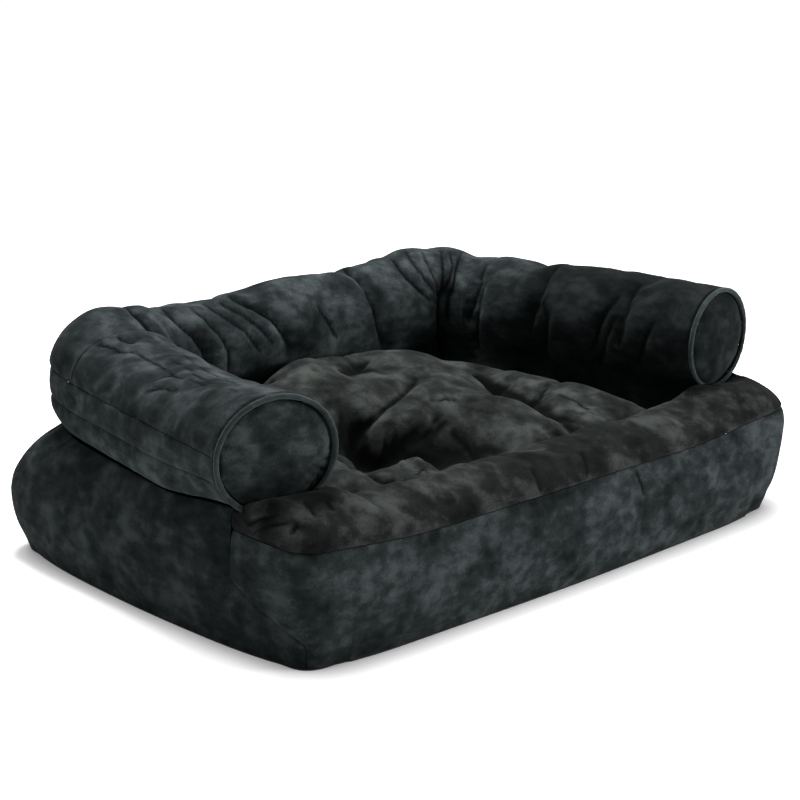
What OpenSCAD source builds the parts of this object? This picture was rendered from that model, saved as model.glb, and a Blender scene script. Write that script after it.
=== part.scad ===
// Sofa bed for a dog: a padded base with a low front lip, a U-shaped bolster and a loose cushion.
// +X is the right arm's side, the open front faces -Y, +Z is up, the floor is z = 0.

/* [Base] */
// Width of the base at its widest line
base_w = 1016; // [980:2:1040]
// Depth of the base at its widest line
base_d = 700; // [690:2:720]
// Corner radius of the base, seen from above
base_corner_r = 90; // [80:1:100]
// How far the stuffing pushes the middle of those corners out
corner_puff = 16; // [0:1:18]
// Height of the widest line of the base walls
belly_z = 80; // [70:1:90]
// How far the foot of the walls is drawn in under the widest line
foot_inset = 10; // [8:1:16]
// Height of the deck that the cushion lies on
deck_z = 110; // [100:1:116]

/* [Front lip] */
// Height of the seam along the middle of the front
seam_z = 147; // [136:1:154]
// How much higher that seam runs at the front corners
seam_rise = 20; // [8:1:24]
// Height of the lip's crest in the middle of the front
lip_z = 188; // [180:1:192]
// How much higher the crest runs in front of the arms
lip_rise = 8; // [0:1:10]
// Height at which the lip turns down into the well
lip_turn_z = 168; // [160:1:174]
// Distance of the well's front wall from the middle of the bed
well_front = 232; // [228:1:236]

/* [Bolster] */
// Distance between the arms' axes at their front ends
arm_span = 902; // [880:2:920]
// How far the arms' front ends stand before the middle of the bed
arm_reach = 233; // [224:1:240]
// How far the arms splay outward to the front, in degrees
arm_splay = 9.75; // [6:0.25:12]
// Distance of the back roll's axis behind the middle of the bed
back_y = 272; // [266:1:276]
// Radius of the bend between the back roll and an arm, at the axis
bend_r = 104; // [100:1:112]
// Height of the bolster's axis
axis_z = 263.5; // [258:0.5:270]
// Half the width of an arm
arm_r = 91; // [86:1:93]
// Half the depth of the back roll
back_r = 78; // [72:1:80]
// How far the stuffing pushes the bolster's bends out
bend_puff = 24; // [0:1:26]
// How much higher the bolster stands in its bends
bend_rise = 8; // [0:1:10]
// How far the bolster's lower outer side bulges out over the walls
sag_out = 26; // [0:1:28]
// How much lower the bolster reaches there
sag_down = 11; // [0:0.5:12]
// Share of this bulge that the back roll has
back_sag_share = 0.6; // [0:0.05:0.65]
// Length over which this bulge dies out towards an arm's front end
sag_fade = 170; // [120:5:200]
// Half the height of the arms and the back roll
roll_rz = 80.5; // [78:0.5:84]
// How deep the gathers on the inner side are
gather_depth = 7; // [3:0.5:9]
// Half the width of one gather
gather_half_w = 15; // [10:1:18]
// How far an arm's end panel is domed
end_dome = 14; // [6:1:18]
// Radius of the piping round an arm's end
piping_r = 3.8; // [2.5:0.1:4.5]
// Distance of the well's walls from the bolster's axis
well_inset = 50; // [46:1:52]

/* [Cushion] */
// Height of the cushion's side seam above the deck
cushion_seam_h = 47; // [40:1:52]
// Rise of the cushion's crown above its side seam
crown_h = 36; // [30:1:44]
// Extra height of the highest mound of the rumpled top
puff_h = 44; // [20:1:50]
// Depth of the deepest hollow of the top
tuft_depth = 34; // [20:1:36]
// Corner radius of the cushion
cushion_corner_r = 62; // [56:1:70]
// Gap between the cushion's edge and the bolster's inner face
cushion_play = 5; // [4:0.5:8]
// Distance of the cushion's rear edge behind the middle of the bed
cushion_rear = 186; // [180:1:188]

/* [Cover] */
// Thickness of the plush fabric
skin_t = 1.8; // [1.2:0.1:2]
// Thickness of the base's bottom panel
bottom_t = 2; // [1.5:0.1:2.5]
// Gap left where two sewn panels meet
seam_gap = 0.5; // [0.4:0.1:0.7]
// Gap between the fabric and what lies behind it
lining_gap = 0.5; // [0.4:0.1:0.7]

/* [Zips] */
// Length of the closed chain of the base's zip
base_zip_len = 640; // [500:10:700]
// Length of the closed chain of the cushion's zip
cushion_zip_len = 400; // [300:10:400]
// Height of the base's zip above the floor, along the wall's foot
base_zip_z = 24; // [22:1:28]
// Width of the zip's tape
tape_w = 26; // [24:1:28]
// Width of the slot that the chain shows in
slot_w = 15; // [13:1:16]
// Thickness of the tape
tape_t = 0.8; // [0.6:0.1:1]
// Width of the chain of teeth
chain_w = 5.6; // [5:0.2:6]
// Thickness of the chain of teeth
chain_t = 2.4; // [2:0.1:2.6]
// Length of the slider's plate
slider_len = 15; // [13:0.5:17]
// Length of the pull from its pivot to its tip
pull_len = 24; // [18:1:25]
// Width of the pull's grip
pull_w = 7; // [6:0.5:8]

/* [Hidden] */

plush = "#232a2a";
plush_top = "#2b2f2d";
welt = "#3a4746";
lining = "#1c1f20";
stuffing = "#e6e3da";
foam = "#d9d2b4";
zip_black = "#161616";
zip_metal = "#8b8b86";
$fn = 48;

// Small clearances and the overrun of a cut
overrun = 1;
zip_play = 0.4;
pivot_play = 0.1;
// More columns than any sheet or stuffed solid has
past_all = 1000;

// Plan of the base: arc lengths from the middle of the front, round to the middle of the back
half_w = base_w / 2;
half_d = base_d / 2;
q_front = half_w - base_corner_r;
corner_len = base_corner_r * PI / 2;
q_side = q_front + corner_len;
q_rear = q_side + base_d - 2 * base_corner_r;
q_back = q_rear + corner_len;

// Axis of the bolster: lengths from the middle of the back, round to an arm's front end
bend_turn = 90 - arm_splay;
bend_tangent = bend_r * tan(bend_turn / 2);
bend_len = bend_r * bend_turn * PI / 180;
vertex_x = arm_span / 2 - (back_y + arm_reach) * tan(arm_splay);
back_len = vertex_x - bend_tangent;
s_bend = back_len + bend_len;
arm_len = (back_y + arm_reach) / cos(arm_splay) - bend_tangent;
s_end = s_bend + arm_len;

// Angles round the bolster's section, from its outermost line up and over to the inner side
seam_top_a = 6.5;
seam_low_a = -20.5;
crease_a = -55;
band_step_a = (seam_top_a - seam_low_a) / 2;
low_step_a = (seam_low_a - crease_a) / 2;
over_as = [seam_top_a, 26, 47, 68, 90, 112, 135, 158, 180, 203, 224];
under_as = [245, 264, 284, 360 + crease_a];
gather_from_a = 62;
gather_full_a = 112;
gather_end_a = 236;

// Where the front lip's back edge meets an arm
lip_to_arm_q = half_w - base_corner_r - well_inset / 2;
lip_ahead = 2 * piping_r + 4 * seam_gap;
lip_crest_share = 0.68;
side_seam_back = 24;
crease_n = arm_r * cos(crease_a);
crease_z = axis_z + roll_rz * sin(crease_a);

// Rows and columns of the panels, as shares of their spans
front_cols_share = [1, 0.96, 0.93, 0.9, 0.87, 0.83, 0.78, 0.73, 0.68, 0.6, 0.4, 0.2];
wall_rows_share = [0, 0.16, 0.3, 0.38, 0.46, 0.56, 0.76, 1];
lip_rows_share = [0, 0.07, 0.2, 0.42, 0.68, 0.86, 0.96, 1];
lip_cols_share = [1, 0.96, 0.9, 0.83, 0.78, 0.73, 0.68, 0.6, 0.4, 0.2];
arm_gathers_share = [0.2, 0.48, 0.74];
back_gathers_share = [0.3, 0.74];
bend_gathers_share = [0.14, 0.5, 0.86];

function mix(a, b, t) = a * (1 - t) + b * t;
function clamp01(t) = min(1, max(0, t));
function ease(t) = let (c = clamp01(t)) c * c * (3 - 2 * c);
function unit(v) = v / norm(v);
function side_of(v) = v < 0 ? -1 : 1;
function flip_x(g) = [for (i = [len(g) - 1 : -1 : 0]) [for (p = g[i]) [-p.x, p.y, p.z]]];
function up(p, z) = [p.x, p.y, z];
function backwards(v) = [for (k = [len(v) - 1 : -1 : 0]) v[k]];
// A list that falls to a value above 0, then 0, then the same list below 0
function both_ways(half) = concat(half, [0], -backwards(half));

// Plan of the base at its widest line, and the direction that its wall faces
function base_turn(q) =
    q < q_front ? 0
    : q < q_side ? 90 * (q - q_front) / corner_len
    : q < q_rear ? 90
    : q < q_back ? 90 + 90 * (q - q_rear) / corner_len
    : 180;
function base_out(q) = let (a = base_turn(abs(q))) [side_of(q) * sin(a), -cos(a)];
function base_half_xy(q, a) =
    q < q_front ? [q, -half_d]
    : q < q_side ? [q_front, base_corner_r - half_d] + base_corner_r * [sin(a), -cos(a)]
    : q < q_rear ? [half_w, base_corner_r - half_d + q - q_side]
    : q < q_back ? [q_front, half_d - base_corner_r] + base_corner_r * [sin(a), -cos(a)]
    : [q_front - q + q_back, half_d];
function bulge(t) = pow(sin(180 * clamp01(t)), 3);
function corner_bulge(q) = bulge((abs(q) < q_side ? abs(q) - q_front : abs(q) - q_rear) / corner_len);
function base_xy(q) =
    let (p = base_half_xy(abs(q), base_turn(abs(q))))
    [side_of(q) * p.x, p.y] + corner_puff * corner_bulge(q) * base_out(q);
function foot_in(z) = z < belly_z ? foot_inset * pow(1 - z / belly_z, 2) : 0;

// Where the front panel ends on the side of the base: a seam that slants to the bottom corner
seam_end_q = q_side + base_corner_r * 0.65;
seam_foot_q = q_front + corner_len / 2;
function seam_q(z) = mix(seam_foot_q, seam_end_q, ease((z - belly_z * 0.4) / belly_z));
function front_seam_z(q) = seam_z + seam_rise * ease((abs(q) / seam_end_q - 0.4) / 0.5);
seam_inset = foot_inset / 2;
seam_tuck = 0.7 * skin_t;
function front_pt(q, z) =
    let (t = clamp01((z - belly_z) / (front_seam_z(q) - belly_z)))
    up(base_xy(q) - base_out(q) * (foot_in(z) + seam_inset * t * t), z);

// Axis of the bolster and the direction that its outer side faces
function roll_turn(s) = bend_turn * clamp01((abs(s) - back_len) / bend_len);
function roll_out(s) = let (a = roll_turn(s)) [side_of(s) * sin(a), cos(a)];
function roll_half_xy(s) =
    let (a = roll_turn(s), bend = [min(s, back_len), back_y - bend_r] + bend_r * [sin(a), cos(a)])
    bend + max(0, s - s_bend) * [cos(bend_turn), -sin(bend_turn)];
function roll_xy(s) = let (p = roll_half_xy(abs(s))) [side_of(s) * p.x, p.y];
function beside(s, n) = roll_xy(s) + n * roll_out(s);
function roll_r(s) = mix(back_r, arm_r, ease((abs(s) - back_len) / bend_len));
function bend_bulge(s) = bulge((abs(s) - back_len) / bend_len);
function ring_r(s, a) = roll_r(s) + (cos(a) > 0 ? bend_puff * bend_bulge(s) : 0);
function ring_rz(s, a) = roll_rz + (sin(a) > 0 ? bend_rise * bend_bulge(s) : 0);
function sag(s, a) =
    let (b = a > 180 ? a - 360 : a)
    b >= 0 || b <= -90 ? 0
    : min(ease(b / crease_a), ease((b + 90) / (crease_a + 90))) * ease((s_end - abs(s)) / sag_fade)
        * mix(back_sag_share, 1, ease((abs(s) - back_len) / bend_len));
function under_z(n) = axis_z - roll_rz * sqrt(1 - pow(n / arm_r, 2));

// Gathers: folds across the inner side, at the places in gather_at
gather_at = concat(
    [for (t = back_gathers_share) t * back_len],
    [for (t = bend_gathers_share) back_len + t * bend_len],
    [for (t = arm_gathers_share) s_bend + t * arm_len]);
function fold_in(s) = max([for (c = gather_at) max(0, 1 - abs(abs(s) - c) / gather_half_w)]);
function gather(s, a) =
    gather_depth * fold_in(s) * ease((a - gather_from_a) / (gather_full_a - gather_from_a))
    * ease((gather_end_a - a) / (gather_end_a - gather_full_a) * 2);
function roll_pt(s, a, deep = 0) =
    let (sunk = deep + gather(s, a))
    up(beside(s, (ring_r(s, a) - sunk) * cos(a) + sag_out * sag(s, a)),
        axis_z + (ring_rz(s, a) - sunk) * sin(a) - sag_down * sag(s, a));

// Back edge of the front lip: the well's front wall, then under the end of an arm
function lip_edge(q) =
    let (
        a = abs(q),
        open = [a, -well_front, lip_turn_z],
        n = mix(-well_inset - lip_ahead, crease_n, clamp01((a - q_front) / corner_len)),
        back = side_seam_back * clamp01((a - q_side) / (seam_end_q - q_side)),
        closed = up(beside(s_end + lip_ahead - back, n), under_z(n) - 3 * lining_gap),
        p = mix(open, closed, clamp01((a - lip_to_arm_q) / (q_front - lip_to_arm_q))))
    [side_of(q) * p.x, p.y, p.z];
function lip_crest_z(q) =
    let (
        raised = lip_z + lip_rise * ease((abs(q) / q_front - 0.5) / 0.6))
    mix(raised, lip_edge(q).z, ease((abs(q) - q_side) / (seam_end_q - q_side)));
function lip_pt(q, w) =
    let (
        low = front_pt(q, front_seam_z(q) + seam_tuck),
        edge = lip_edge(q),
        crest = lip_crest_z(q),
        rise = clamp01(w / lip_crest_share),
        fall = clamp01((w - lip_crest_share) / (1 - lip_crest_share)),
        z = w < lip_crest_share ? mix(low.z, crest, pow(sin(90 * rise), 0.6))
            : mix(edge.z, crest, sqrt(max(0, 1 - fall * fall))))
    up(mix([low.x, low.y], [edge.x, edge.y], w), z);

// Side and back walls: m runs 0 to 1 along the side, 1 to 2 round the corner, 2 to 3 along the back
function wall_q(m, z) =
    m < 1 ? mix(seam_q(z) + 2 * seam_gap, q_rear, m)
    : m < 2 ? q_rear + corner_len * (m - 1)
    : q_back + q_front * (m - 2);
function wall_s(m) =
    m < 1 ? mix(s_end - side_seam_back, s_bend, m)
    : m < 2 ? s_bend - bend_len * (m - 1)
    : back_len * (3 - m);
function crease_at(s) = beside(s, ring_r(s, crease_a) * cos(crease_a) + sag_out * sag(s, crease_a));
function wall_top_z(m) = crease_z - sag_down * sag(wall_s(m), crease_a) - 2 * seam_gap;
function wall_pt(m, z) =
    let (
        q = wall_q(m, z),
        foot = base_xy(q) - base_out(q) * foot_in(z),
        t = clamp01((z - belly_z) / (wall_top_z(m) - belly_z)))
    up(mix(foot, crease_at(wall_s(m)), t * t), z);
function rows_up_to(z) = [for (t = wall_rows_share) mix(bottom_t + seam_gap, z, t)];
function wall_rows(m) = concat(rows_up_to(front_seam_z(seam_end_q)), [wall_top_z(m)]);

// Direction that a grid of points faces, and the same grid sunk below its surface
function facing(g, i, j) =
    let (
        a = g[min(i + 1, len(g) - 1)][j] - g[max(i - 1, 0)][j],
        b = g[i][min(j + 1, len(g[i]) - 1)] - g[i][max(j - 1, 0)])
    unit(cross(a, b));
function sunk(g, d) =
    [for (i = [0 : len(g) - 1]) [for (j = [0 : len(g[i]) - 1]) g[i][j] - d * facing(g, i, j)]];
function flat_list(g) = [for (row = g) for (p = row) p];

// A sheet of fabric: a grid of points on its outer face, and the same points sunk by its thickness.
// From column swap_at on, its four-sided faces are halved along their other diagonal.
module sheet(g, swap_at = past_all) {
    n = len(g);
    m = len(g[0]);
    k = n * m;
    inner = sunk(g, skin_t);
    faces = concat(
        [for (i = [0 : n - 2]) for (j = [0 : m - 2])
            let (a = i * m + j, b = a + m)
            each i < swap_at ? [[a, a + 1, b + 1], [a, b + 1, b]]
                : [[a, a + 1, b], [a + 1, b + 1, b]]],
        [for (i = [0 : n - 2]) for (j = [0 : m - 2])
            let (a = k + i * m + j, b = a + m)
            each i < swap_at ? [[a, b + 1, a + 1], [a, b, b + 1]]
                : [[a, b, a + 1], [a + 1, b, b + 1]]],
        [for (i = [0 : n - 2]) let (a = i * m, b = a + m)
            each [[a, b, k + b], [a, k + b, k + a]]],
        [for (i = [0 : n - 2]) let (a = i * m + m - 1, b = a + m)
            each [[b, a, k + a], [b, k + a, k + b]]],
        [for (j = [0 : m - 2]) each [[j + 1, j, k + j], [j + 1, k + j, k + j + 1]]],
        [for (j = [0 : m - 2]) let (a = (n - 1) * m + j)
            each [[a, a + 1, k + a + 1], [a, k + a + 1, k + a]]]);
    polyhedron(concat(flat_list(g), flat_list(inner)), faces, convexity = 8);
}

// A stuffed solid: closed rings of points, one after another, with a point in the middle of each end.
// From ring swap_at on, its four-sided faces are halved along their other diagonal.
module loft(rings, swap_at = past_all) {
    n = len(rings);
    m = len(rings[0]);
    k = n * m;
    faces = concat(
        [for (i = [0 : n - 2]) for (j = [0 : m - 1])
            let (a = i * m + j, b = a + m, a2 = i * m + (j + 1) % m, b2 = a2 + m)
            each i < swap_at ? [[a, a2, b2], [a, b2, b]] : [[a, a2, b], [a2, b2, b]]],
        [for (j = [0 : m - 1]) [(j + 1) % m, j, k]],
        [for (j = [0 : m - 1]) let (a = (n - 1) * m) [a + j, a + (j + 1) % m, k + 1]]);
    polyhedron(concat(flat_list(rings), [mid_of(rings[0]), mid_of(rings[n - 1])]), faces,
        convexity = 8);
}
function mid_of(r) = [for (k = [0 : 2]) [for (p = r) 1] * [for (p = r) p[k]] / len(r)];

// A domed sheet: rings of points on its outer face, from its edge to a point in the middle
module dome(rings) {
    n = len(rings);
    m = len(rings[0]);
    inner = [for (r = sunk([for (r = rings) concat([r[m - 1]], r, [r[0]])], skin_t))
        [for (j = [1 : m]) r[j]]];
    k = n * m;
    top = mid_of(rings[n - 1]);
    low = mid_of(inner[n - 1]);
    faces = concat(
        [for (i = [0 : n - 2]) for (j = [0 : m - 1])
            let (a = i * m + j, b = a + m, a2 = i * m + (j + 1) % m, b2 = a2 + m)
            each [[a, a2, b2], [a, b2, b], [k + a, k + b2, k + a2], [k + a, k + b, k + b2]]],
        [for (j = [0 : m - 1]) let (a2 = (j + 1) % m) each [[a2, j, k + j], [a2, k + j, k + a2]]],
        [for (j = [0 : m - 1]) let (a = (n - 1) * m + j, a2 = (n - 1) * m + (j + 1) % m)
            each [[a, a2, 2 * k], [k + a2, k + a, 2 * k + 1]]]);
    polyhedron(concat(flat_list(rings), flat_list(inner), [top, low]), faces, convexity = 8);
}

// Columns along the bolster, in order from the right arm's front end to the left arm's
function about(c) = [c + gather_half_w, c, c - gather_half_w];
arm_cols = concat([s_end],
    [for (k = [len(arm_gathers_share) - 1 : -1 : 0]) each about(s_bend + arm_gathers_share[k] * arm_len)],
    [s_bend + seam_gap]);
back_half_cols = concat([s_bend - seam_gap],
    [for (k = [len(bend_gathers_share) - 1 : -1 : 0])
        each about(back_len + bend_gathers_share[k] * bend_len)],
    [for (k = [len(back_gathers_share) - 1 : -1 : 0]) each about(back_gathers_share[k] * back_len)]);
bend_steps = 6;
bend_cols = [for (k = [bend_steps : -1 : 0]) back_len + bend_len * k / bend_steps];
sag_half_m = 0.13;
sag_full_m = (sag_fade - side_seam_back) / (arm_len - side_seam_back);
band_cols = both_ways(concat([s_end, wall_s(sag_half_m), s_end - sag_fade], bend_cols));
gap_a = seam_gap / roll_rz * 180 / PI;

// Inner side of the bolster below its section: the well's wall, down to the deck
turn_in_z = mix(deck_z, axis_z, 0.5);
wall_zs = [turn_in_z, deck_z];
function gathered(cols) =
    [for (s = cols) concat(
        [for (a = over_as) roll_pt(s, a == seam_top_a ? a + gap_a : a)],
        [for (z = wall_zs) up(beside(s, -well_inset), z)])];
function band(from_a, step_a) =
    [for (s = band_cols) [for (k = [0 : 2])
        roll_pt(s, from_a + k * step_a + (k == 0 ? gap_a : k == 2 ? -gap_a : 0))]];

// Half the width of the well at a given distance from the middle, between its side walls
function well_half_x(y, n) =
    let (p = beside(s_end, -n)) p.x - (y - p.y) * tan(arm_splay);
function well_plan(n, front) =
    concat(
        [[well_half_x(front, n), front]],
        [for (s = bend_cols) beside(s, -n)],
        [for (k = [len(bend_cols) - 1 : -1 : 0]) beside(-bend_cols[k], -n)],
        [[-well_half_x(front, n), front]]);

foot_steps = 6;
foot_qs = [for (q = [q_front, q_rear]) each [for (k = [0 : foot_steps]) q + corner_len * k / foot_steps]];
module bottom_panel() {
    half = [for (q = foot_qs) base_xy(q) - base_out(q) * foot_inset];
    color(lining) linear_extrude(bottom_t)
        polygon(concat(half, [for (p = backwards(half)) [-p.x, p.y]]));
}

module front_panel() {
    color(plush) sheet([for (v = backwards(both_ways(front_cols_share)))
        [for (z = rows_up_to(front_seam_z(v * seam_end_q))) front_pt(v * seam_q(z), z)]],
        len(front_cols_share));
}

module front_lip_panel() {
    color(plush_top) sheet([for (v = backwards(both_ways(lip_cols_share)))
        [for (w = lip_rows_share) lip_pt(v * seam_end_q, w)]],
        len(lip_cols_share));
}

side_ms = [0, 0.03, 0.06, 0.09, sag_half_m, sag_full_m, 0.68, 1, 1.17, 1.34];
corner_m = 1.5;
corner_gap_m = seam_gap / bend_len;
function side_cols() = [for (m = concat(side_ms, [corner_m - corner_gap_m]))
    [for (z = wall_rows(m)) wall_pt(m, z)]];
module right_side_panel() { color(plush) sheet(side_cols(), 0); }
module left_side_panel() { color(plush) sheet(flip_x(side_cols())); }

back_ms = [corner_m + corner_gap_m, 1.66, 1.83, 2, 3];
function back_half() = [for (m = back_ms) [for (z = wall_rows(m)) wall_pt(m, z)]];
module back_panel() {
    half = back_half();
    other = flip_x(half);
    color(plush) difference() {
        sheet(concat(half, [for (k = [1 : len(other) - 1]) other[k]]));
        on_base_zip() translate([-base_zip_len / 2 - slot_end, -tape_w, -slot_w / 2])
            cube([base_zip_len + 2 * slot_end, 2 * tape_w, slot_w]);
    }
}

module well_front_panel() {
    half = well_half_x(-well_front, well_inset) - seam_gap;
    color(lining) sheet([for (x = [half, -half])
        [for (z = [deck_z, lip_turn_z - 2 * seam_gap]) [x, -well_front, z]]]);
}

module well_floor_panel() {
    color(lining) translate([0, 0, deck_z]) linear_extrude(skin_t)
        polygon(well_plan(well_inset + lining_gap, -well_front + lining_gap));
}

module right_arm_panel() { color(plush) sheet(gathered(arm_cols)); }
module left_arm_panel() { color(plush) sheet(flip_x(gathered(arm_cols)), 0); }
module back_bolster_panel() { color(plush) sheet(gathered(both_ways(back_half_cols))); }
module outer_band() { color(plush) sheet(band(seam_low_a, band_step_a)); }
module lower_band() { color(plush) sheet(band(crease_a, low_step_a)); }

// Ends of the arms: a domed panel with piping round it
end_as = [for (a = [0 : 15 : 345]) a];
end_rings_share = [1, 0.75, 0.4];
end_in = 2 * piping_r + seam_gap;
function end_pt(ahead, n, z) =
    let (along = [cos(bend_turn), -sin(bend_turn)]) up(beside(s_end, n) + ahead * along, z);
function end_ring(ahead, deep, share) =
    [for (a = end_as)
        end_pt(ahead, (arm_r - deep) * share * cos(a), axis_z + (roll_rz - deep) * share * sin(a))];
function end_rings(ahead, deep) =
    [for (f = end_rings_share) end_ring(ahead + end_dome * (1 - f * f), deep, f)];
function mirrored(rings) =
    [for (r = rings) [for (k = [len(r) - 1 : -1 : 0]) [-r[k].x, r[k].y, r[k].z]]];
function turned(rings) = [for (r = rings) backwards(r)];
module right_arm_end_panel() { color(plush) dome(end_rings(piping_r, end_in)); }
module left_arm_end_panel() { color(plush) dome(mirrored(end_rings(piping_r, end_in))); }

module piping(side) {
    m = 6;
    rings = [for (a = end_as) [for (k = [0 : m - 1])
        let (
            t = 360 * k / m,
            deep = piping_r * (1 - cos(t)),
            p = end_pt(seam_gap + piping_r * (1 + sin(t)), (arm_r - deep) * cos(a),
                axis_z + (roll_rz - deep) * sin(a)))
        [side * p.x, p.y, p.z]]];
    n = len(rings);
    way = side > 0 ? [0, 2, 1] : [0, 1, 2];
    faces = [for (i = [0 : n - 1]) for (j = [0 : m - 1])
        let (
            a = i * m + j,
            b = (i + 1) % n * m + j,
            a2 = i * m + (j + 1) % m,
            b2 = (i + 1) % n * m + (j + 1) % m)
        each [for (f = [[a, b2, a2], [a, b, b2]]) [for (k = way) f[k]]]];
    color(welt) polyhedron(flat_list(rings), faces, convexity = 6);
}
module right_arm_piping() { piping(1); }
module left_arm_piping() { piping(-1); }

module base_pad() {
    low = bottom_t + lining_gap;
    color(foam) translate([0, 0, low]) linear_extrude(deck_z - lining_gap - low)
        polygon(well_plan(well_inset + lining_gap, -well_front + lining_gap));
}

// Stuffing of the arms and the back roll, inside their gathers
roll_floor_z = axis_z - roll_rz + skin_t + lining_gap;
full_in = skin_t + lining_gap;
function stuffed_pt(s, a) =
    let (
        bend_slack = 3 * lining_gap * sin(180 * clamp01((abs(s) - back_len) / bend_len)),
        deep = full_in + bend_slack
            + gather_depth * ease((a - gather_from_a) / (gather_full_a - gather_from_a))
            * ease((gather_end_a - a) / (gather_end_a - gather_full_a) * 2),
        r = ring_r(s, a) - deep,
        z = axis_z + (ring_rz(s, a) - deep) * sin(a) - sag_down * sag(s, a))
    up(beside(s, r * cos(a) + sag_out * sag(s, a)), max(z, roll_floor_z));
ring_as = concat(over_as, under_as,
    [for (a = [crease_a + low_step_a, seam_low_a, seam_low_a + band_step_a]) 360 + a]);
function stuffed_ring(s) = [for (a = ring_as) stuffed_pt(s, a)];
function arm_end_in(share) =
    let (ring = stuffed_ring(s_end), mid = end_pt(0, 0, axis_z))
    [for (p = ring)
        let (q = mid + share * (p - mid), f = end_dome * (1 - share * share)) q
            + f * [cos(bend_turn), -sin(bend_turn), 0]];
function arm_fill_rings() = concat(
    [for (f = [0.3, 0.6, 0.82]) arm_end_in(f)],
    [stuffed_ring(s_end - seam_gap), stuffed_ring(s_bend + seam_gap)]);
module right_arm_fill() { color(stuffing) loft(arm_fill_rings()); }
module left_arm_fill() {
    color(stuffing) loft(flip_x(arm_fill_rings()));
}
module back_bolster_fill() {
    half = concat([s_bend - 2 * seam_gap], [for (k = [1 : bend_steps]) bend_cols[k]]);
    color(stuffing) loft([for (s = both_ways(half)) stuffed_ring(s)]);
}

// Stuffing of the walls under the bolster, and of the front lip
wall_fill_in = skin_t + 4 * lining_gap + tape_t + chain_t;
wall_fill_rows_share = [0, 0.14, 0.42, 0.75, 1];
wall_fill_low = bottom_t + lining_gap;
wall_fill_top = roll_floor_z - lining_gap;
function wall_fill_ring(m) =
    let (
        s = wall_s(m),
        inner = beside(s, full_in + 2 * lining_gap - well_inset),
        mid = beside(s, 0))
    concat(
        [for (t = wall_fill_rows_share)
            let (
                z = mix(wall_fill_low, wall_fill_top - lining_gap, t),
                q = m < 1 ? mix(seam_end_q, q_rear, m) : wall_q(m, z),
                foot = base_xy(q) - base_out(q) * (foot_in(z) + wall_fill_in),
                k = clamp01((z - belly_z) / (wall_top_z(m) - belly_z)))
            up(mix(foot, crease_at(s) - roll_out(s) * wall_fill_in, k * k), z)],
        [up(mid, wall_fill_top), up(inner, wall_fill_top), up(inner, wall_fill_low)]);
function side_fill_rings() =
    [for (m = [sag_half_m, sag_full_m, 0.68, 1, 1.17, 1.34, corner_m - 2 * corner_gap_m])
        wall_fill_ring(m)];
module right_wall_fill() { color(stuffing) loft(side_fill_rings()); }
module left_wall_fill() { color(stuffing) loft(flip_x(side_fill_rings())); }
module back_wall_fill() {
    half = [for (m = [corner_m + 2 * corner_gap_m, 1.66, 1.83, 2, 3]) wall_fill_ring(m)];
    other = flip_x(half);
    color(stuffing) loft(concat(half, [for (k = [1 : len(other) - 1]) other[k]]));
}

lip_fill_from = 3;
lip_fill_rows_share = [0.2, 0.42, 0.68, 0.86, 1];
module front_lip_fill() {
    shares = [for (k = [lip_fill_from : len(lip_cols_share) - 1]) lip_cols_share[k]];
    skin = sunk([for (v = backwards(both_ways(shares))) let (q = v * seam_end_q) concat(
        [for (t = [0, 0.4, 0.9])
            front_pt(q, mix(bottom_t + lining_gap, front_seam_z(q), t))],
        [for (w = lip_fill_rows_share) lip_pt(q, w)])], wall_fill_in);
    color(stuffing) loft([for (col = skin)
        let (last = col[len(col) - 1])
        concat([for (p = col) up(p, max(p.z, wall_fill_low))], [up(last, wall_fill_low)])],
        len(shares));
}

// Zips: x runs along the chain, y out of the fabric, z across the tape, y = 0 on the fabric's face
slot_end = slider_len / 2;
base_zip_tilt = atan(2 * foot_inset * (1 - base_zip_z / belly_z) / belly_z);
module on_base_zip() {
    translate([0, half_d - foot_in(base_zip_z), base_zip_z]) rotate([-base_zip_tilt, 0, 0])
        children();
}
module on_cushion_zip() { translate([0, cushion_rear, cushion_seam_z]) children(); }
tape_y = -skin_t - 2.8 * lining_gap;
plate_t = 1.5;
flange_t = 1.4;
stop_len = 3;
lug_t = 1.3;
lug_gap = 3.6;
lug_r = 1.8;
pivot_r = 0.9;
eye_r = 1.9;
tab_t = 1.5;

module tape(len, face) {
    long = len + 4 * stop_len;
    translate([-long / 2, face - tape_t, -tape_w / 2]) cube([long, tape_t, tape_w]);
}

module chain(len, face) {
    groove = chain_t / 4;
    half = chain_w / 2;
    translate([-len / 2, face, 0]) rotate([90, 0, 90]) linear_extrude(len) polygon([
        [0, -half],
        [chain_t * 0.6, -half],
        [chain_t, -half * 0.7],
        [chain_t, -groove],
        [chain_t - groove, 0],
        [chain_t, groove],
        [chain_t, half * 0.7],
        [chain_t * 0.6, half],
        [0, half]]);
}

module stops(len, face) {
    for (side = [-1, 1])
        translate([side * (len + stop_len) / 2 - stop_len / 2, face, -chain_w / 2])
            cube([stop_len, chain_t, chain_w]);
}

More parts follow.
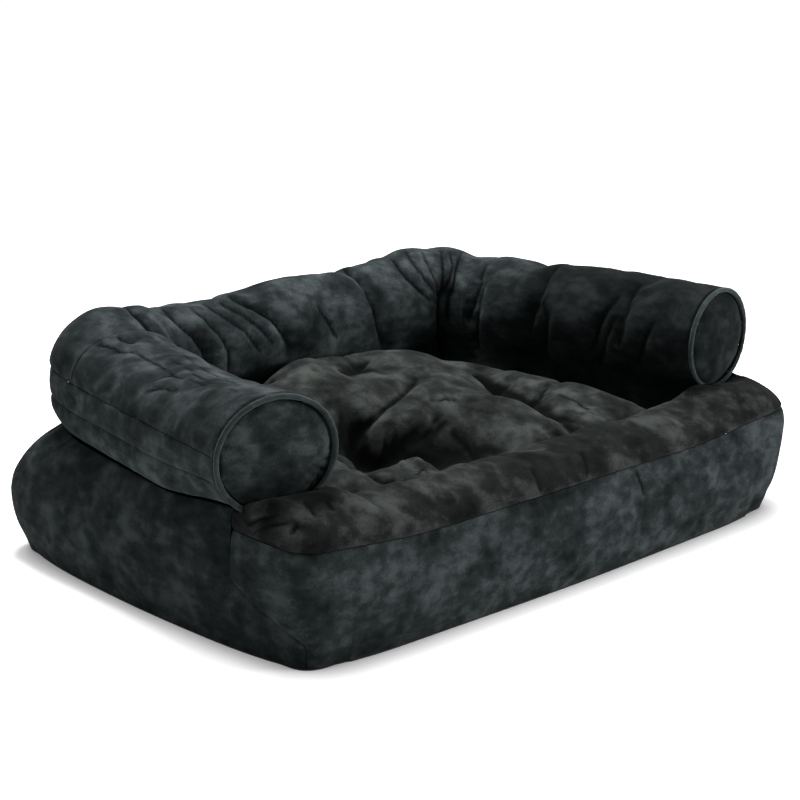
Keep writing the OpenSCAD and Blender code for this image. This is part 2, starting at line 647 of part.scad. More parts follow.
// Where the slider rests, at the closed end, and the height of the pull's pivot over the tape
function slider_x(len) = (len - slider_len) / 2 - zip_play;
plate_y = chain_t + zip_play;
pivot_y = plate_y + plate_t + eye_r + zip_play;
module slider(len, face) {
    half = chain_w / 2 + zip_play + flange_t;
    lug_w = lug_gap + 2 * lug_t;
    translate([slider_x(len), face, 0]) difference() {
        union() {
            translate([-slider_len / 2, zip_play, -half])
                cube([slider_len, plate_y + plate_t - zip_play, 2 * half]);
            translate([-lug_r, plate_y, -lug_w / 2]) cube([2 * lug_r, pivot_y - plate_y, lug_w]);
            translate([0, pivot_y, -lug_w / 2]) cylinder(r = lug_r, h = lug_w);
        }
        translate([-slider_len / 2 - overrun, -overrun, flange_t - half])
            cube([slider_len + 2 * overrun, plate_y + overrun, 2 * (half - flange_t)]);
        difference() {
            translate([-lug_r - overrun, plate_y + plate_t, -lug_gap / 2])
                cube([2 * (lug_r + overrun), eye_r + lug_r + 2 * overrun, lug_gap]);
            translate([0, pivot_y, -lug_gap]) cylinder(r = pivot_r, h = 2 * lug_gap);
        }
    }
}

module pull(len, face) {
    neck_w = lug_gap - 2 * zip_play;
    neck_len = lug_r + 2 * zip_play;
    translate([slider_x(len), face + pivot_y, 0]) difference() {
        union() {
            translate([0, 0, -neck_w / 2]) cylinder(r = eye_r, h = neck_w);
            translate([-neck_len - overrun, -tab_t / 2, -neck_w / 2])
                cube([neck_len + overrun, tab_t, neck_w]);
            translate([-pull_len + pull_w / 2, -tab_t / 2, -pull_w / 2])
                cube([pull_len - pull_w / 2 - neck_len, tab_t, pull_w]);
            translate([-pull_len + pull_w / 2, tab_t / 2, 0]) rotate([90, 0, 0])
                cylinder(d = pull_w, h = tab_t);
        }
        translate([0, 0, -neck_w]) cylinder(r = pivot_r + pivot_play, h = 2 * neck_w);
        translate([-pull_len + pull_w / 2, tab_t, 0]) rotate([90, 0, 0])
            cylinder(r = pivot_r, h = 2 * tab_t);
    }
}

module base_zip_tape() { color(lining) on_base_zip() tape(base_zip_len, tape_y); }
module base_zip_teeth() { color(zip_black) on_base_zip() chain(base_zip_len, tape_y); }
module base_zip_stops() { color(zip_metal) on_base_zip() stops(base_zip_len, tape_y); }
module base_zip_slider() { color(zip_metal) on_base_zip() slider(base_zip_len, tape_y); }
module base_zip_pull() { color(zip_metal) on_base_zip() pull(base_zip_len, tape_y); }

module cushion_zip_tape() {
    color(lining) on_cushion_zip() tape(cushion_zip_len, tape_y);
}
module cushion_zip_teeth() {
    color(zip_black) on_cushion_zip() chain(cushion_zip_len, tape_y);
}
module cushion_zip_stops() {
    color(zip_metal) on_cushion_zip() stops(cushion_zip_len, tape_y);
}
module cushion_zip_slider() {
    color(zip_metal) on_cushion_zip() slider(cushion_zip_len, tape_y);
}
module cushion_zip_pull() {
    color(zip_metal) on_cushion_zip() pull(cushion_zip_len, tape_y);
}

// The loose cushion: a plan with rounded corners, as wide as the well between the rolls
cushion_low = deck_z + skin_t + lining_gap;
cushion_seam_z = deck_z + cushion_seam_h;
cushion_front = -well_front + cushion_play;
function cushion_half_x(y) = well_half_x(y, arm_r + cushion_play);
function rounded(p, a, b, r) =
    let (
        u = unit(a - p),
        v = unit(b - p),
        half = acos(u * v) / 2,
        c = p + unit(u + v) * r / sin(half),
        from = p + u * r / tan(half),
        to = p + v * r / tan(half),
        swing = 180 - 2 * half)
    [for (k = [0 : 4])
        let (t = swing * (k / 4)) c + r * unit((from - c) * sin(swing - t) + (to - c) * sin(t))];
function between(a, b, n) = [for (k = [1 : n - 1]) mix(a, b, k / n)];
right_front = [cushion_half_x(cushion_front), cushion_front];
right_rear = [cushion_half_x(cushion_rear), cushion_rear];
left_front = [-right_front.x, right_front.y];
left_rear = [-right_rear.x, right_rear.y];
cushion_corners = [
    rounded(right_front, left_front, right_rear, cushion_corner_r),
    rounded(right_rear, right_front, left_rear, cushion_corner_r),
    rounded(left_rear, right_rear, left_front, cushion_corner_r),
    rounded(left_front, left_rear, right_front, cushion_corner_r)];
edge_steps = 6;
mouth_half = cushion_zip_len / 2 + 2 * stop_len;
rear_xs = both_ways([mouth_half + slider_len, mouth_half, mouth_half / 3]);
cushion_plan = [for (k = [0 : 3])
    let (here = cushion_corners[k], next = cushion_corners[(k + 1) % 4])
    each concat(here, k == 1 ? [for (x = rear_xs) [x, cushion_rear]]
        : between(here[4], next[0], edge_steps))];
cushion_mid = [0, (cushion_front + cushion_rear) / 2];
cushion_half_d = (cushion_rear - cushion_front) / 2;

// Mounds and hollows of the rumpled top: each has its place at shares of the cushion's half width
// and half depth, its reach across and along as shares too, then its share of the full height
mound_shares = [
    [-0.28, 0.78, 0.5, 0.5, 1],
    [0.2, 0.7, 0.3, 0.45, 0.55],
    [-0.5, 0.3, 0.35, 0.3, 0.25],
    [0.22, 0.1, 0.36, 0.5, 0.75],
    [0.28, -0.5, 0.28, 0.4, 0.35]];
hollow_shares = [
    [-0.5, -0.3, 0.22, 0.3, 1],
    [-0.22, -0.55, 0.3, 0.26, 0.9],
    [0.6, -0.05, 0.12, 0.3, 0.6],
    [0.52, -0.7, 0.14, 0.3, 0.65],
    [-1, -0.2, 0.3, 0.6, 0.35]];
function swell(p, c) =
    let (
        x = (p.x / right_rear.x - c[0]) / c[2],
        y = ((p.y - cushion_mid.y) / cushion_half_d - c[1]) / c[3])
    c[4] * exp(-x * x - y * y);
function crown_z(p, share) =
    let (edge = sqrt(1 - pow(share, 9)))
    cushion_seam_z + edge * (crown_h
        + puff_h * sum_of([for (c = mound_shares) swell(p, c)])
        - tuft_depth * sum_of([for (c = hollow_shares) swell(p, c)]));
function sum_of(v) = v * [for (k = v) 1];

// The rear of the side seam opens round the zip
zip_mouth = slot_w / 2;
function mouth(p) =
    p.y < cushion_rear - overrun ? 0
    : zip_mouth * ease((mouth_half + slider_len - abs(p.x)) / slider_len);
function toward_mid(p, share) = mix(cushion_mid, p, share);
top_rings_share = [1, 0.97, 0.9, 0.77, 0.58, 0.36, 0.16];
low_rings_share = [1, 0.97, 0.85];
low_rise_shares = [1, 0.4, 0];
function top_rings() =
    [for (f = top_rings_share) [for (k = [len(cushion_plan) - 1 : -1 : 0])
        let (p = cushion_plan[k], q = toward_mid(p, f))
        up(q, max(crown_z(q, f), cushion_seam_z + (f < 1 ? 4 : 1) * mouth(p) + seam_tuck))]];
function low_rings() =
    [for (i = [0 : len(low_rings_share) - 1]) [for (p = cushion_plan)
        up(toward_mid(p, low_rings_share[i]),
            mix(cushion_low, cushion_seam_z - mouth(p) - seam_tuck, low_rise_shares[i]))]];
module cushion_top_panel() { color(plush_top) dome(top_rings()); }
module cushion_bottom_panel() { color(plush) dome(low_rings()); }

cushion_fill_in = skin_t + 4 * lining_gap + tape_t;
module cushion_fill() {
    count = len(cushion_plan);
    function closed(rings) = [for (r = rings) concat([r[count - 1]], r, [r[0]])];
    function cut(g) = [for (r = g) [for (j = [1 : count]) r[j]]];
    top = cut(sunk(closed(top_rings()), cushion_fill_in));
    low = cut(sunk(closed(low_rings()), cushion_fill_in));
    color(stuffing) loft(concat(
        turned([for (k = [len(top) - 1 : -1 : 1]) top[k]]),
        [for (k = [1 : len(low) - 1])
            low_rise_shares[k] > 0 ? low[k] : [for (p = low[k]) up(p, cushion_low + full_in)]]),
        len(top) - 1);
}

bottom_panel();
front_panel();
left_side_panel();
right_side_panel();
back_panel();
front_lip_panel();
well_front_panel();
well_floor_panel();
left_arm_panel();
right_arm_panel();
back_bolster_panel();
outer_band();
lower_band();
left_arm_end_panel();
right_arm_end_panel();
left_arm_piping();
right_arm_piping();
base_pad();
left_wall_fill();
right_wall_fill();
back_wall_fill();
front_lip_fill();
left_arm_fill();
right_arm_fill();
back_bolster_fill();
base_zip_tape();
base_zip_teeth();
base_zip_stops();
base_zip_slider();
base_zip_pull();
cushion_top_panel();
cushion_bottom_panel();
cushion_fill();
cushion_zip_tape();
cushion_zip_teeth();
cushion_zip_stops();
cushion_zip_slider();
cushion_zip_pull();
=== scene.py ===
# Plush sofa bed for a dog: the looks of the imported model. Lengths in the code are millimetres.
import math

import bpy
import numpy as np
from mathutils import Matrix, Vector
from mathutils.bvhtree import BVHTree


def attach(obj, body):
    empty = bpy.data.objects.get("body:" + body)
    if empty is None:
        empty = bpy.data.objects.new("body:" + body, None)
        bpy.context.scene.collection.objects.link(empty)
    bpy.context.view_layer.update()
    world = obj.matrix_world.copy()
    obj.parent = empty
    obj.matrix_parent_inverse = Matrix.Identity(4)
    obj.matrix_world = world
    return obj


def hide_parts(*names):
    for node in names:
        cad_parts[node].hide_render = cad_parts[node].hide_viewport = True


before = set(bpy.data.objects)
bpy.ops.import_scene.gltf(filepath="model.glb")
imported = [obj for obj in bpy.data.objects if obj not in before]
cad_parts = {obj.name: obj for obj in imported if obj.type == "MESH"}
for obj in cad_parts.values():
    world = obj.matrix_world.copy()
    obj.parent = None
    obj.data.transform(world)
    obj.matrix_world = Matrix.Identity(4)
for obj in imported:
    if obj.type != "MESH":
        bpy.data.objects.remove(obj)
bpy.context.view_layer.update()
MM = 0.001

# Camera, from the vanishing lines of the base in the photograph
CAM_AT = np.array([-1947.07, -2055.65, 998.69])
CAM_YAW = 0.75466
CAM_PITCH = -0.27464
CAM_FOCAL_PX = 1935.78
IMAGE_PX = 800

# Sizes of the bed, as in the CAD
BASE_W, BASE_D, CORNER_R = 1016.0, 700.0, 90.0
BELLY_Z, FOOT_IN, DECK_Z = 80.0, 10.0, 110.0
CORNER_PUFF, BEND_PUFF, BEND_RISE = 16.0, 24.0, 8.0
SEAM_Z, SEAM_RISE, WELL_FRONT = 147.0, 20.0, 232.0
LIP_Z, LIP_RISE, LIP_TURN_Z, LIP_AHEAD, LIP_CREST = 188.0, 8.0, 168.0, 9.6, 0.68
ARM_SPAN, ARM_REACH, SPLAY = 902.0, 233.0, math.radians(9.75)
BACK_Y, BEND_R, AXIS_Z, ARM_R, BACK_R, ROLL_RZ = 272.0, 104.0, 263.5, 91.0, 78.0, 80.5
END_DOME, PIPING_R, WELL_INSET = 14.0, 3.8, 50.0
SKIN_T, BOTTOM_T = 1.8, 2.0
CUSHION_SEAM_Z, CUSHION_REAR, CUSHION_CORNER = 157.0, 186.0, 62.0
CUSHION_LOW, CUSHION_GAP = 112.3, 5.0
ZIP_Z, ZIP_HALF, SLOT_END = 24.0, 320.0, 7.5

# The bolster's seams by their angle round the roll, in degrees, and the mean radius of its arc
SEAM_TOP_A, SEAM_LOW_A, CREASE_A, INNER_A = 6.5, -20.5, -55.0, 224
COVER_R, BAND_R = 84, 88

# How far the bolster hangs out and down over the walls, where that fades, and the back's share
SAG_OUT, SAG_DOWN, SAG_FADE, BACK_SAG = 26.0, 11.0, 170.0, 0.6

HALF_W, HALF_D = BASE_W / 2, BASE_D / 2
Q_FRONT = HALF_W - CORNER_R
CORNER_LEN = CORNER_R * math.pi / 2
Q_SIDE = Q_FRONT + CORNER_LEN
Q_REAR = Q_SIDE + BASE_D - 2 * CORNER_R
Q_BACK = Q_REAR + CORNER_LEN
BEND_TURN = math.pi / 2 - SPLAY
BEND_TAN = BEND_R * math.tan(BEND_TURN / 2)
BEND_LEN = BEND_R * BEND_TURN
BACK_LEN = ARM_SPAN / 2 - (BACK_Y + ARM_REACH) * math.tan(SPLAY) - BEND_TAN
S_BEND = BACK_LEN + BEND_LEN
ARM_LEN = (BACK_Y + ARM_REACH) / math.cos(SPLAY) - BEND_TAN
S_END = S_BEND + ARM_LEN
CREASE_N = ARM_R * math.cos(math.radians(CREASE_A))
CREASE_Z = AXIS_Z + ROLL_RZ * math.sin(math.radians(CREASE_A))
SEAM_END_Q = Q_SIDE + CORNER_R * 0.65
SEAM_FOOT_Q = Q_FRONT + CORNER_LEN / 2
LIP_TO_ARM_Q = HALF_W - CORNER_R - WELL_INSET / 2
SIDE_SEAM_BACK = 24.0

# The stuffed base: corners that pull in at the foot, walls that bow out, shoulders by the front's
# corners, the left one smaller, and the lip's pillows under the arms (left, right)
CORNER_PULL, PULL_TOP, PULL_REACH = 16.0, 110.0, 95.0
BOW, BOW_TOP, SIDE_BOW_REACH, FRONT_BOW_REACH = 8.0, 160.0, 190.0, 260.0
SHOULDER, SHOULDER_Z, SHOULDER_HIGH, SHOULDER_WIDE, SHOULDER_LEFT = 11.0, 150.0, 42.0, 70.0, 0.3
PILLOW_FROM, PILLOW_TO, PILLOW_RISE = 330.0, (545.0, 415.0), (15.0, 8.0)

# Steps in from a sewn edge, where the grids are finer
SEWN_STEPS = np.array([0, 1.1, 2.6, 4.6])


def mix(a, b, t):
    return a * (1 - t) + b * t


def unit(t):
    """t kept between 0 and 1."""
    return np.clip(t, 0, 1)


def ease(t):
    """0 to 1 as t goes from 0 to 1, with a soft start and end."""
    t = unit(t)
    return t * t * (3 - 2 * t)


def bell(x, width):
    """1 at x = 0, falling to either side over about that width."""
    return np.exp(-(x / width) ** 2)


def folded(x):
    """The size of x and its side, -1 or 1."""
    return np.abs(x), np.where(np.asarray(x) < 0, -1.0, 1.0)


def mesh_grid(a, b):
    return np.meshgrid(np.asarray(a, float), np.asarray(b, float), indexing="ij")


def stack(x, y, z):
    return np.stack(np.broadcast_arrays(x, y, z), axis=-1).astype(float)


def noise3(p, size, seed):
    """Smooth noise from -1 to 1 at the points p, with lumps of about that size."""
    table = np.random.RandomState(seed).uniform(-1, 1, (16, 16, 16))
    q = np.asarray(p) / size + 40.0
    i = np.floor(q).astype(int)
    f = q - i
    f = f * f * (3 - 2 * f)
    total = 0
    for corner in np.ndindex(2, 2, 2):
        share, at = 1, []
        for k, step in enumerate(corner):
            share = share * (f[..., k] if step else 1 - f[..., k])
            at.append((i[..., k] + step) % 16)
        total = total + share * table[tuple(at)]
    return total


# The bed's surfaces

def bulge(t):
    return np.sin(np.pi * unit(t)) ** 3


def base_plan(q):
    """Plan of the base at arc length q from the middle of the front, and the wall's direction."""
    a, side = folded(q)
    t = np.interp(a, [Q_FRONT, Q_SIDE, Q_REAR, Q_BACK], [0, math.pi / 2, math.pi / 2, math.pi])
    spans = [a < Q_FRONT, a < Q_SIDE, a < Q_REAR, a < Q_BACK]
    turn_x = Q_FRONT + CORNER_R * np.sin(t)
    x = np.select(spans, [a, turn_x, HALF_W, turn_x], Q_FRONT - a + Q_BACK)
    y = np.select(spans, [-HALF_D, CORNER_R - HALF_D - CORNER_R * np.cos(t),
                          CORNER_R - HALF_D + a - Q_SIDE,
                          HALF_D - CORNER_R - CORNER_R * np.cos(t)], HALF_D)
    puff = CORNER_PUFF * bulge(np.where(a < Q_SIDE, a - Q_FRONT, a - Q_REAR) / CORNER_LEN)
    ox, oy = np.sin(t), -np.cos(t)
    return (side * (x + puff * ox), y + puff * oy), (side * ox, oy)


def foot_in(z, q=None):
    """How far the wall stands inside its widest line: its foot draws in most at the corners."""
    low = unit(1 - z / BELLY_Z) ** 2
    if q is None:
        return FOOT_IN * low
    a = np.abs(q)
    corner = (bell(a - Q_FRONT - CORNER_LEN / 2, PULL_REACH)
              + bell(a - Q_REAR - CORNER_LEN / 2, PULL_REACH))
    side = bell(a - (Q_SIDE + Q_REAR) / 2, SIDE_BOW_REACH)
    front = bell(np.minimum(a, 300), FRONT_BOW_REACH) * (a < Q_FRONT)
    swing = CORNER_PULL * corner * unit(1 - z / PULL_TOP) ** 1.5
    return FOOT_IN * low + swing - BOW * np.maximum(side, front) * unit(1 - z / BOW_TOP)


def seam_q(z):
    """Where the slanted seam beside each front corner runs, at the height z."""
    return mix(SEAM_FOOT_Q, SEAM_END_Q, ease((z - BELLY_Z * 0.4) / BELLY_Z))


def front_seam_z(q):
    return SEAM_Z + SEAM_RISE * ease((np.abs(q) / SEAM_END_Q - 0.4) / 0.5)


def front_pt(q, z):
    """Point of the front wall at the height z."""
    (x, y), (ox, oy) = base_plan(q)
    t = unit((z - BELLY_Z) / (front_seam_z(q) - BELLY_Z))
    inset = foot_in(z, q) + FOOT_IN / 2 * t * t
    shoulder = bell(np.abs(q) - Q_SIDE + 30.0, SHOULDER_WIDE) * bell(z - SHOULDER_Z, SHOULDER_HIGH)
    inset = inset - SHOULDER * shoulder * np.where(np.asarray(q) > 0, 1.0, SHOULDER_LEFT)
    return stack(x - ox * inset, y - oy * inset, z)


def roll_plan(s, n=0.0):
    """Point beside the bolster's axis: s along it from the middle of the back, n outward."""
    a, side = folded(s)
    t = unit((a - BACK_LEN) / BEND_LEN) * BEND_TURN
    arm = np.maximum(0, a - S_BEND)
    x = np.minimum(a, BACK_LEN) + BEND_R * np.sin(t) + arm * math.cos(BEND_TURN)
    y = BACK_Y - BEND_R + BEND_R * np.cos(t) - arm * math.sin(BEND_TURN)
    return side * (x + n * np.sin(t)), y + n * np.cos(t)


def roll_r(s):
    """Outward radius of the bolster: the arms are thicker than the back."""
    return mix(BACK_R, ARM_R, ease((np.abs(s) - BACK_LEN) / BEND_LEN))


def bend_bulge(s):
    return bulge((np.abs(s) - BACK_LEN) / BEND_LEN)


def sag(s, a):
    """How much of the outer side's bulge there is, 0 to 1, at the angle a in degrees."""
    on_bend = ease((np.abs(s) - BACK_LEN) / BEND_LEN)
    along = ease((S_END - np.abs(s)) / SAG_FADE) * mix(BACK_SAG, 1, on_bend)
    round_it = np.minimum(ease(a / CREASE_A), ease((a + 90) / (CREASE_A + 90)))
    return np.where((a < 0) & (a > -90), round_it * along, 0)


# The bolster's stuffing stands in humps: place along it and height over the even roll
CREST = np.array([
    (-847, 0), (-800, -6), (-740, -12), (-670, -17), (-600, -18), (-520, -17), (-470, -12),
    (-420, -4), (-380, 2), (-345, 8), (-300, 9), (-272, 0), (-222, -6), (-185, -12), (-147, -8),
    (-115, 1), (-60, -3), (40, -5), (105, -6), (140, 0), (185, 0), (225, 6), (265, 11), (303, 8),
    (328, 2), (353, -5), (380, -9), (430, -5), (520, -5), (560, 0), (660, 0), (720, -3), (800, -3),
    (847, -3)], float)


def crest(s, a):
    return np.interp(s, CREST[:, 0], CREST[:, 1]) * unit(np.sin(a)) ** 1.5


def roll_pt(s, a):
    """Point of the bolster's section at angle a, in degrees, from its outermost line upward."""
    hang = sag(s, a)
    a = np.radians(a)
    r = roll_r(s) + np.where(np.cos(a) > 0, BEND_PUFF * bend_bulge(s), 0)
    x, y = roll_plan(s, r * np.cos(a) + SAG_OUT * hang)
    rz = ROLL_RZ + np.where(np.sin(a) > 0, BEND_RISE * bend_bulge(s), 0)
    return stack(x, y, AXIS_Z + rz * np.sin(a) + crest(s, a) - SAG_DOWN * hang)


def under_z(n):
    """Height of the roll's underside at n outward from its axis."""
    return AXIS_Z - ROLL_RZ * np.sqrt(unit(1 - (n / ARM_R) ** 2))


def lip_edge(q):
    """The lip's rear edge: along the well, then under the arm's end and out to its side."""
    a, side = folded(q)
    n = mix(-WELL_INSET - LIP_AHEAD, CREASE_N, unit((a - Q_FRONT) / CORNER_LEN))
    back = SIDE_SEAM_BACK * unit((a - Q_SIDE) / (SEAM_END_Q - Q_SIDE))
    cx, cy = roll_plan(S_END + LIP_AHEAD - back, n)
    t = unit((a - LIP_TO_ARM_Q) / (Q_FRONT - LIP_TO_ARM_Q))
    return side * mix(a, cx, t), mix(-WELL_FRONT, cy, t), mix(LIP_TURN_Z, under_z(n) - 1.5, t)


def lip_pt(q, w):
    """Point of the lip: w runs 0 to 1 from the front's seam over the crest to the rear edge."""
    low = front_pt(q, front_seam_z(q))
    ex, ey, ez = lip_edge(q)
    a = np.abs(q)
    near_left = np.asarray(q) < 0
    pillow = (ease((a - PILLOW_FROM) / 60.0)
              * (1 - ease((a - np.where(near_left, *PILLOW_TO)) / 75.0)))
    raised = (LIP_Z + LIP_RISE * ease((a / Q_FRONT - 0.5) / 0.6)
              + np.where(near_left, *PILLOW_RISE) * pillow)
    crest = mix(raised, ez, ease((a - Q_SIDE) / (SEAM_END_Q - Q_SIDE)))
    top_at = LIP_CREST + 0.13 * pillow * near_left
    rise = unit(w / top_at)
    fall = unit((w - top_at) / (1 - top_at))
    back = np.sqrt(unit(1 - fall ** (2 + 3 * pillow)))
    z = np.where(w < top_at, mix(low[..., 2], crest, np.sin(np.pi / 2 * rise) ** 0.6),
                 mix(ez, crest, back))
    return stack(mix(low[..., 0], ex, w), mix(low[..., 1], ey, w), z)


def wall_pt(m, up, side=1.0):
    """Side and back walls: m is 0 to 1 on the side, to 2 round the corner, to 3 at the middle."""
    s = np.select([m < 1, m < 2], [mix(S_END - SIDE_SEAM_BACK, S_BEND, m),
                                   S_BEND - BEND_LEN * (m - 1)], BACK_LEN * (3 - m))
    hang = sag(s, CREASE_A)
    top = CREASE_Z - SAG_DOWN * hang - 1.0
    z = mix(BOTTOM_T, top, up)
    q = np.select([m < 1, m < 2], [mix(seam_q(z), Q_REAR, m), Q_REAR + CORNER_LEN * (m - 1)],
                  Q_BACK + Q_FRONT * (m - 2))
    (x, y), (ox, oy) = base_plan(q)
    inset = foot_in(z, q)
    crease = ((roll_r(s) + BEND_PUFF * bend_bulge(s)) * math.cos(math.radians(CREASE_A))
              + SAG_OUT * hang)
    cx, cy = roll_plan(s, crease)
    t = unit((z - BELLY_Z) / (top - BELLY_Z)) ** 2.7
    return stack(side * mix(x - ox * inset, cx, t), mix(y - oy * inset, cy, t), z)


# Mesh tools

STEP = 4.6
CLOTH_FRAMES = 18
# The part of a fold's depth that is a wide hollow round it
HOLLOW_SHARE = 0.3


def count(length, step=None):
    """How many grid points a length takes."""
    return max(8, int(round(length / (step or STEP))))


def normals_of(g):
    n = np.cross(np.gradient(g, axis=0), np.gradient(g, axis=1))
    return n / np.maximum(np.linalg.norm(n, axis=-1, keepdims=True), 1e-9)


def tune(made, **values):
    """Sets properties of these names, or else a node's inputs, with _ for a space."""
    for key, value in values.items():
        if hasattr(made, key):
            setattr(made, key, value)
        else:
            made.inputs[key.replace("_", " ")].default_value = value
    return made


def added(name, data):
    """A new object with this data, in the scene."""
    obj = bpy.data.objects.new(name, data)
    bpy.context.collection.objects.link(obj)
    return obj


def new_object(name, verts, faces, material, smooth=True):
    """A mesh object from points in millimetres and faces with any number of corners."""
    mesh = bpy.data.meshes.new(name)
    verts = np.asarray(verts, dtype=np.float64).reshape(-1, 3) * MM
    corners = np.array([len(face) for face in faces], dtype=np.int32)
    mesh.vertices.add(len(verts))
    mesh.vertices.foreach_set("co", verts.ravel())
    mesh.loops.add(int(corners.sum()))
    mesh.loops.foreach_set("vertex_index", np.concatenate(faces).astype(np.int32))
    mesh.polygons.add(len(faces))
    mesh.polygons.foreach_set("loop_start", np.cumsum(corners, dtype=np.int32) - corners)
    mesh.polygons.foreach_set("use_smooth", np.full(len(faces), smooth))
    mesh.update(calc_edges=True)
    mesh.validate()
    mesh.materials.append(material)
    return added(name, mesh)


def lowered(g, depth):
    """The grid with each point sunk into the piece by its depth."""
    return g - depth[..., None] * normals_of(g)


def paint_shade(obj, dark):
    """Paints shade on a sheet with two faces: how dark each point is painted, 0 to 1."""
    shut = obj.data.attributes.new("painted_shade", "FLOAT", "POINT")
    shut.data.foreach_set("value", np.tile(dark.ravel(), 2).astype(np.float32))


def quads(n, m, wrap_i=False, wrap_j=False, at=0):
    """The faces of a grid of n by m points, numbered from at."""
    i, j = np.meshgrid(np.arange(n if wrap_i else n - 1), np.arange(m if wrap_j else m - 1),
                       indexing="ij")
    i2, j2 = (i + 1) % n, (j + 1) % m
    return np.stack([at + i * m + j, at + i2 * m + j, at + i2 * m + j2, at + i * m + j2],
                    axis=-1).reshape(-1, 4)


def sheet(name, g, material, thick=SKIN_T, dark=None):
    """A closed sheet of fabric: the grid g is its outer face, and dark is the shade painted on it.
    """
    n, m = g.shape[:2]
    inner = g - thick * normals_of(g)
    k = n * m
    idx = np.arange(k).reshape(n, m)
    outer = quads(n, m)
    inside = quads(n, m, at=k)[:, ::-1]
    rim = []
    for line, flip in ((idx[0], 0), (idx[-1], 1), (idx[:, 0], 1), (idx[:, -1], 0)):
        a, b = line[:-1], line[1:]
        f = np.stack([a, b, b + k, a + k], axis=-1)
        rim.append(f[:, ::-1] if flip else f)
    obj = new_object(name, np.concatenate([g.reshape(-1, 3), inner.reshape(-1, 3)]),
                     np.concatenate([outer, inside] + rim), material)
    if dark is not None:
        paint_shade(obj, dark)
    return obj


def edge_distance(g, edge):
    """Distance along the grid from one of its edges: i0, i1, j0 or j1."""
    axis = 0 if edge[0] == "i" else 1
    step = np.linalg.norm(np.diff(g, axis=axis), axis=-1)
    run = np.cumsum(step, axis=axis)
    run = np.concatenate([np.zeros_like(np.take(run, [0], axis)), run], axis)
    return run if edge[1] == "0" else np.take(run, [-1], axis) - run


def edge_gap(g):
    """Distance along the grid from the nearest of its edges."""
    return np.minimum.reduce([edge_distance(g, edge) for edge in ("i0", "i1", "j0", "j1")])


def tuck(g, edges, depth=2.6, width=3.2):
    """How far the fabric turns in along its sewn edges: each is a name, or a name and a share."""
    total = 0
    for edge in edges:
        edge, share = edge if isinstance(edge, tuple) else (edge, 1.0)
        d = edge_distance(g, edge)
        total = total + share * (depth * np.exp(-(d / width) ** 1.4) + 0.9 * bell(d, 14.0))
    return total


def swell(p, size, amount, seed):
    """Uneven stuffing: lumps of about that size, with smaller ones on them."""
    return amount * noise3(p, size, seed) + 0.4 * amount * noise3(p, size * 0.45, seed + 7)


def ray(px, py):
    """Direction from the camera through a pixel of the photograph."""
    cy, sy = math.cos(CAM_YAW), math.sin(CAM_YAW)
    cp, sp = math.cos(CAM_PITCH), math.sin(CAM_PITCH)
    ahead = np.array([sy * cp, cy * cp, sp])
    right = np.array([cy, -sy, 0.0])
    up = np.cross(right, ahead)
    half = IMAGE_PX / 2
    d = ahead * CAM_FOCAL_PX + right * (px - half) + up * (half - py)
    return d / np.linalg.norm(d)


def through(points, tree, steps=5):
    """Points of the surface in tree that lie behind a line drawn on the photograph."""
    pts = np.asarray(points, float)
    dense = [pts[0]]
    for a, b in zip(pts[:-1], pts[1:]):
        dense += [mix(a, b, k / steps) for k in range(1, steps + 1)]
    hits = [tree.ray_cast(Vector(CAM_AT), Vector(ray(*pixel)))[0] for pixel in dense]
    return [np.array(at) for at in hits if at is not None]


def groove(g, normals, line, depth, width, lean=0.0, fade=(0.3, 0.3), shut=0.5):
    """A crease along a line, sharp in the middle with a softer hollow round it.

    Gives its depth, how firmly it holds each point and the shade painted along it. lean makes it
    wider on one side, fade is the share of its length over which each end runs out, and shut is
    the width of the painted shade.
    """
    line = np.asarray(line)
    seg = np.linalg.norm(np.diff(line, axis=0), axis=-1)
    total = seg.sum()
    reach = width * 9
    near = np.all((g > line.min(0) - reach) & (g < line.max(0) + reach), axis=-1)
    out, held, dark = np.zeros((3, *g.shape[:2]))
    if total < 1 or not near.any():
        return out, held, dark
    p, nrm = g[near], normals[near]
    best = np.full(len(p), 1e9)
    along, side = np.zeros(len(p)), np.zeros(len(p))
    run = 0.0
    for a, b, length in zip(line[:-1], line[1:], seg):
        if length < 1e-6:
            continue
        ab = b - a
        t = unit(((p - a) @ ab) / length ** 2)
        off = p - (a + t[:, None] * ab)
        d = np.linalg.norm(off, axis=-1)
        m = d < best
        best[m] = d[m]
        along[m] = (run + t[m] * length) / total
        side[m] = np.sign(np.einsum("ij,ij->i", np.cross(ab, off[m]), nrm[m]))
        run += length
    u = best / (width * (1 + lean * side))
    sharp = np.exp(-np.sqrt(u * u + 0.04) + 0.2)
    shape = mix(sharp, bell(best, 3.2 * width), HOLLOW_SHARE)
    taper = np.ones(len(p))
    for ahead, share in ((along, fade[0]), (1 - along, fade[1])):
        if share:
            taper = taper * np.sqrt(unit(ahead / share))
    out[near] = depth * shape * taper
    firm = taper * min(1, abs(depth) / 4)
    held[near] = firm * bell(best, 0.5 * width)
    dark[near] = np.minimum(1, 1.6 * np.sqrt(firm) * bell(best, shut * width))
    return out, held, dark


def fold(depth, width, *line, **looks):
    """A fold of the photograph, by the pixels along it. looks are more arguments of groove."""
    return depth, width, line, looks


